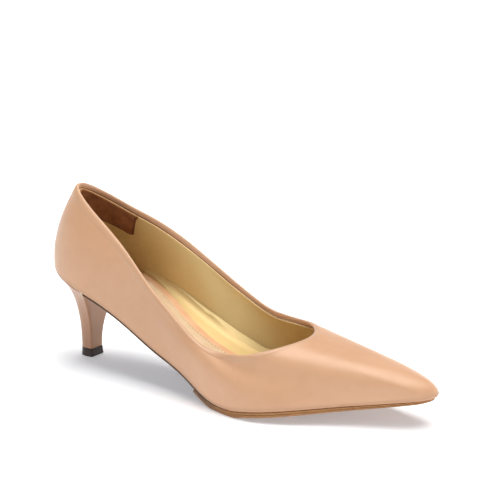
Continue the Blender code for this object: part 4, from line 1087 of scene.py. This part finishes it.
def buildHeel():
    sidePoints, breastPoints = heel["sidePoints"], heel["breastPoints"]
    breastWay = math.acos(1 - 2 * last["breastPlace"]) / math.pi
    sweep = np.linspace(breastWay, -breastWay, 2 * sidePoints + 1)
    seat = underFoot(np.mod(sweep, 2.0), heel["inset"], heel["seatLift"])[:, :2]
    across = np.linspace(seat[-1], seat[0], breastPoints + 2)[1:-1]
    seat = smoothRing(np.concatenate([seat, across]), heel["softness"])
    seat = onSheet(seat[:, 0], seat[:, 1], heel["seatLift"])
    tip = smoothRing(tipOutline(0.0, sidePoints, breastPoints), heel["softness"])
    tip = np.concatenate([tip, np.full((len(tip), 1), heel["foot"])], axis=1)
    number = np.arange(len(seat))
    onBreast = np.exp(-(np.minimum(number, 2 * sidePoints - number).clip(0) / 2.5) ** 2)
    spread = heel["spreadBack"] + (heel["spreadBreast"] - heel["spreadBack"]) * onBreast
    drop = heel["dropBack"] + (heel["dropBreast"] - heel["dropBack"]) * onBreast
    middle = np.array([liftX, heelY])
    handle = seat.copy()
    handle[:, :2] += (middle - seat[:, :2]) * spread[:, None]
    handle[:, 2] -= (seat[:, 2] - heel["foot"]) * drop
    mesh = bpy.data.meshes.new("heelCover")
    mesh.from_pydata((np.concatenate([seat, tip]) * mm).tolist(), [], [])
    layer = mesh.attributes.new("handle", "FLOAT_VECTOR", "POINT")
    layer.data.foreach_set("vector", (np.concatenate([handle, tip]) * mm).ravel())
    block = bpy.data.objects.new("heelCover", mesh)
    scene.collection.objects.link(block)
    growWith(block, heelTree(), {"Points": len(seat), "Rows": heel["rows"],
                                 "Rise": heel["rise"], "Material": heelSkinShaded})
    body = bmesh.new()
    body.from_mesh(block.data)
    rims = [e for e in body.edges if e.is_boundary]
    bmesh.ops.holes_fill(body, edges=rims, sides=0)
    bmesh.ops.triangulate(body, faces=[f for f in body.faces if len(f.verts) > 4])
    bmesh.ops.recalc_face_normals(body, faces=body.faces[:])
    body.to_mesh(block.data)
    body.free()
    for label in ("edge", "hem", "groove"):
        block.data.attributes.new(label, "FLOAT", "POINT")
    # painted shade along the foot of the heel cover, where it meets the top lift
    heights = np.array([v.co.z for v in block.data.vertices]) / mm
    low = 1 - smoothStep(heights, heel["foot"], heel["foot"] + 1.0)
    block.data.attributes["hem"].data.foreach_set("value", (0.6 * low).astype(np.float32))
    block.data.set_sharp_from_angle(angle=math.radians(55))
    keepOn(block, ["heel_cover"])


lift = {"sidePoints": 60, "breastPoints": 24, "softness": 1.2, "profile": (   # height and grow
    (0.0, -0.05), (0.12, 0.22), (0.35, 0.36), (0.7, 0.38), (3.55, 0.10), (3.7, 0.0),
    (3.85, 0.09), (4.7, 0.04), (4.92, -0.06), (5.0, -0.25))}


def buildTopLift():
    loops = []
    for height, grow in lift["profile"]:
        ring = smoothRing(tipOutline(grow, lift["sidePoints"], lift["breastPoints"]),
                          lift["softness"])
        loops.append(np.concatenate([ring, np.full((len(ring), 1), height)], axis=1))
    count, size = len(loops), len(loops[0])
    faces = [(r * size + k, r * size + (k + 1) % size, (r + 1) * size + (k + 1) % size,
              (r + 1) * size + k) for r in range(count - 1) for k in range(size)]
    faces += [tuple(range(size)), tuple(range((count - 1) * size, count * size))]
    block = makePiece("topLift", np.array(loops), faces, tipRubber)
    block.data.set_sharp_from_angle(angle=math.radians(50))
    keepOn(block, ["top_lift"])


def stitchTree():
    tree, given = newTree("stitchRow", {
        "Spacing": "Float", "Length": "Float", "Radius": "Float", "Sway": "Float",
        "Seed": "Int", "Material": "Material"})
    line = addNode(tree, "GeometryNodeMeshToCurve", {}, {"Mesh": given["Geometry"]})
    spread = addNode(tree, "GeometryNodeResampleCurve", {"mode": "LENGTH"}, {
        "Curve": line.outputs[0], "Length": given["Spacing"]})
    ball = addNode(tree, "GeometryNodeMeshUVSphere", {}, {
        "Segments": 10, "Rings": 8, "Radius": 1.0})
    size = addNode(tree, "ShaderNodeCombineXYZ", {}, {
        "X": maths(tree, "MULTIPLY", given["Length"], 0.5), "Y": given["Radius"],
        "Z": given["Radius"]})
    thread = addNode(tree, "GeometryNodeTransform", {}, {
        "Geometry": ball.outputs[0], "Scale": size.outputs[0]})
    out = addNode(tree, "GeometryNodeInputNamedAttribute", {"data_type": "FLOAT_VECTOR"}, {
        "Name": "out"}).outputs[0]
    tangent = addNode(tree, "GeometryNodeInputTangent").outputs[0]
    up = addNode(tree, "FunctionNodeAlignRotationToVector", {"axis": "Z"}, {"Vector": out})
    turn = addNode(tree, "FunctionNodeAlignRotationToVector", {"axis": "X", "pivot_axis": "Z"}, {
        "Rotation": up.outputs[0], "Vector": tangent})
    sway = addNode(tree, "FunctionNodeRandomValue", {"data_type": "FLOAT"}, {
        "Seed": given["Seed"]})
    tree.links.new(maths(tree, "MULTIPLY", given["Sway"], -1.0), sway.inputs[2])
    tree.links.new(given["Sway"], sway.inputs[3])
    twist = addNode(tree, "FunctionNodeAxisAngleToRotation", {}, {
        "Axis": (0.0, 0.0, 1.0), "Angle": sway.outputs[1]})
    both = addNode(tree, "FunctionNodeRotateRotation", {"rotation_space": "LOCAL"}, {
        "Rotation": turn.outputs[0], "Rotate By": twist.outputs[0]})
    sewn = addNode(tree, "GeometryNodeInstanceOnPoints", {}, {
        "Points": spread.outputs[0], "Instance": thread.outputs[0],
        "Rotation": both.outputs[0]})
    smooth = addNode(tree, "GeometryNodeSetShadeSmooth", {}, {"Geometry": sewn.outputs[0]})
    closeTree(tree, smooth.outputs[0], given["Material"])
    return tree


stitchNodes = stitchTree()


def stitchAlong(name, path, out, sizes, thread):
    mesh = bpy.data.meshes.new(name)
    mesh.from_pydata((np.asarray(path) * mm).tolist(), [(i, i + 1) for i in range(len(path) - 1)],
                     [])
    layer = mesh.attributes.new("out", "FLOAT_VECTOR", "POINT")
    layer.data.foreach_set("vector", np.asarray(out, np.float32).ravel())
    row = bpy.data.objects.new(name, mesh)
    scene.collection.objects.link(row)
    growWith(row, stitchNodes, {
        "Spacing": sizes["spacing"] * mm, "Length": sizes["length"] * mm,
        "Radius": sizes["radius"] * mm, "Sway": sizes["sway"], "Seed": sizes["seed"],
        "Material": thread})
    keepOn(row, [])


panelStitch = {"spacing": 2.2, "length": 1.5, "radius": 0.2, "sway": 0.08, "seed": 3,
               "inset": 1.3, "sink": 0.02}
gripStitch = {"spacing": 1.7, "length": 1.25, "radius": 0.17, "sway": 0.06, "seed": 7,
              "inset": 2.0, "narrow": 0.011, "sink": 0.03}


def stitchPanel():
    loop = insetLoop(panelLoop, panelStitch["inset"])
    front = np.argmin(np.abs(arounds - 1.0))
    order = np.concatenate([np.arange(front - 1, -1, -1), np.arange(len(loop) - 1, front, -1)])
    loop = loop[order]
    loop = loop[loop[:, 0] < pads["panelReach"] - 1.5]
    sides = sidesOf(panelLoop)
    left = np.interp(loop[:, 0], *sides[0])
    right = np.interp(loop[:, 0], *sides[1])
    u = np.clip((loop[:, 1] - left) / np.maximum(right - left, 0.1) * 2 - 1, -1, 1)
    lift = layers["panelHigh"] + panelCrown(loop[:, 0], loop[:, 1], u) - panelStitch["sink"]
    path = onSheet(loop[:, 0], loop[:, 1], lift)
    out = onSheet(loop[:, 0], loop[:, 1], lift + 1.0) - path
    stitchAlong("sockPanelStitches", path, out, panelStitch, sockThread)


def stitchGrip():
    # follows the patch's border from the upper front corner, round below and up again
    side, below = 14, 100             # points up each front and along the bottom
    climb = np.linspace(1, 0.1, side)
    flat = np.sin(np.linspace(1, -1, below) * math.pi / 2)
    ways = np.concatenate([np.ones(side), flat, -np.ones(side)]) * grip["half"]
    climbing = np.concatenate([climb, np.zeros(below), climb[::-1]])
    narrow = 1 - gripStitch["narrow"] / grip["half"]
    widen = 1 + grip["lean"] * (climbing - grip["leanFrom"])

    def placesOf(length):
        low = gripLow(length, ways) + gripStitch["inset"]
        return (low + (length - grip["top"] - 1.4 - low) * climbing)[:, None]

    points, normals = wallRows(ways * narrow * widen, placesOf)
    depth = layers["gripOut"] + grip["thick"] - gripStitch["sink"]
    path = (points - normals * depth)[:, 0]
    path = np.stack([smoothLine(path[:, axis], 2.0) for axis in range(3)], -1)
    stitchAlong("heelGripStitches", path, -normals[:, 0], gripStitch, gripThread)


buildHeel()
buildTopLift()
print("heel and top lift lofted")
stitchPanel()
stitchGrip()
print("stitch rows sewn")


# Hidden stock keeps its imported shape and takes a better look

stock = {
    "heel_core": plainStock("heelPlasticMoulded", "#C9B79A", "#BBA888", 2.0, 0.03, 0.45),
    "heel_counter": plainStock("counterBoardPressed", "#B59A77", "#A3886A", 1.2, 0.08, 0.8),
    "toe_puff": plainStock("puffSheetFused", "#D8D2C4", "#C7BFAD", 0.9, 0.06, 0.75),
    "vamp_interlining": plainStock("interliningBrushed", "#E5DCC8", "#D2C7AF", 0.7, 0.08, 0.9),
    "insole_board": plainStock("insoleBoardFibre", "#A07C55", "#8A6844", 1.0, 0.10, 0.85),
    "steel_shank": plainStock("shankSteelRolled", "#8E9298", "#767B82", 1.5, 0.01, 0.35, 1.0),
    "forepart_filler": plainStock("corkFillerGranular", "#B88A5A", "#8E6238", 1.8, 0.2, 0.9),
}
nailSteel = plainStock("fastenerSteelPlain", "#9A9DA2", "#84888E", 0.8, 0.01, 0.35, 1.0)
for label in ("shank_rivet_rear", "shank_rivet_front", "heel_dowel", "heel_screw", "heel_nail_1",
              "heel_nail_2", "heel_nail_3", "heel_nail_4", "top_lift_pin"):
    stock[label] = nailSteel
for label, look in stock.items():
    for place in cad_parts[label].material_slots:
        place.material = look
print("packed parts dressed:", len(stock))


# Studio

studio = {"floorHalf": 2.6, "bend": 0.7, "bendRows": 24, "sides": 96, "world": 0.19,
          "lens": 82.2, "azimuth": 32.57, "elevation": 11.4, "distance": 0.6085,
          "aim": (-0.0038, 0.0223, 0.0263), "glowNear": 0.30, "glowLow": 0.27, "glowFar": 1.10,
          "lampAim": (0.0, 0.0, 0.04)}
lamps = {"topSoftbox": ((0.05, 0.20, 1.25), (1.5, 1.1), 24.0, "#FFFDF9"),
         "sideSoftbox": ((1.10, -0.35, 0.85), (0.7, 0.7), 1.2, "#FFFAF4")}


def buildBackdrop():
    # a round sweep of paper that glows by its own emission, faint near the shoe and rising far away
    # so that it fades to white
    made, tree, place = newMaterial("studioPaperSeamless")
    fibre = noise(tree, place, 3.0, 3.0, 0.6)
    away = addNode(tree, "ShaderNodeVectorMath", {"operation": "LENGTH"}, {0: place}).outputs[1]
    # painted light: the paper's bluish glow lifts the floor shadow by the shoe and turns full white
    # far away
    glow = ramp(tree, away, studio["glowNear"], studio["glowFar"], studio["glowLow"], 1.0)
    dress(made, Roughness=0.9, Normal=bumpFrom(tree, fibre, 0.02), Emission_Color="#F3F8FF",
          Base_Color=mixColour(tree, ramp(tree, fibre, 0.3, 0.7), "#F1F3F6", "#F6F8FA"),
          Emission_Strength=glow)
    reach, bend, count = studio["floorHalf"], studio["bend"], studio["sides"]
    side = [(0.02, 0.0), (0.5 * reach, 0.0), (reach - bend, 0.0)]
    side += [(reach - bend + bend * math.sin(a), bend - bend * math.cos(a))
             for a in np.linspace(0, math.pi / 2, studio["bendRows"])[1:]]
    turns = np.arange(count) * 2 * math.pi / count
    points = [(r * math.cos(a), r * math.sin(a), z) for r, z in side for a in turns]
    faces = [(i * count + k, i * count + (k + 1) % count, (i + 1) * count + (k + 1) % count,
              (i + 1) * count + k) for i in range(len(side) - 1) for k in range(count)]
    faces.append(tuple(range(count)))
    paper = makePiece("paperBackdrop", np.array(points) / mm, faces, made)
    if paper.data.polygons[0].normal.z < 0:
        paper.data.flip_normals()


def softLight(name, place, size, watts, colour):
    lamp = bpy.data.lights.new(name, "AREA")
    lamp.shape = "RECTANGLE"
    lamp.size, lamp.size_y = size
    lamp.energy = watts
    lamp.color = fromHex(colour)[:3]
    holder = bpy.data.objects.new(name, lamp)
    holder.location = place
    holder.rotation_mode = "QUATERNION"
    toward = Vector(studio["lampAim"]) - Vector(place)
    holder.rotation_quaternion = toward.to_track_quat("-Z", "Y")
    scene.collection.objects.link(holder)


def buildStudio():
    buildBackdrop()
    for name, lamp in lamps.items():
        softLight(name, *lamp)
    world = bpy.data.worlds.new("paleStudio")
    scene.world = world
    world.use_nodes = True
    sky = world.node_tree.nodes["Background"]
    sky.inputs["Color"].default_value = fromHex("#F4F7FC")
    sky.inputs["Strength"].default_value = studio["world"]
    scene.view_settings.view_transform = "Standard"
    scene.view_settings.look = "None"
    lens = bpy.data.cameras.new("camera")
    lens.lens = studio["lens"]
    lens.sensor_width = 36.0
    lens.clip_start, lens.clip_end = 0.05, 20.0
    eye = bpy.data.objects.new("camera", lens)
    turn, tilt = math.radians(studio["azimuth"]), math.radians(studio["elevation"])
    back = Vector((math.sin(turn) * math.cos(tilt), -math.cos(turn) * math.cos(tilt),
                   math.sin(tilt)))
    middle = (cadBox[0] + cadBox[1]) / 2 + Vector(studio["aim"])
    eye.location = middle + back * studio["distance"]
    eye.rotation_mode = "QUATERNION"
    eye.rotation_quaternion = (-back).to_track_quat("-Z", "Y")
    scene.collection.objects.link(eye)
    scene.camera = eye


buildStudio()
print("studio set")
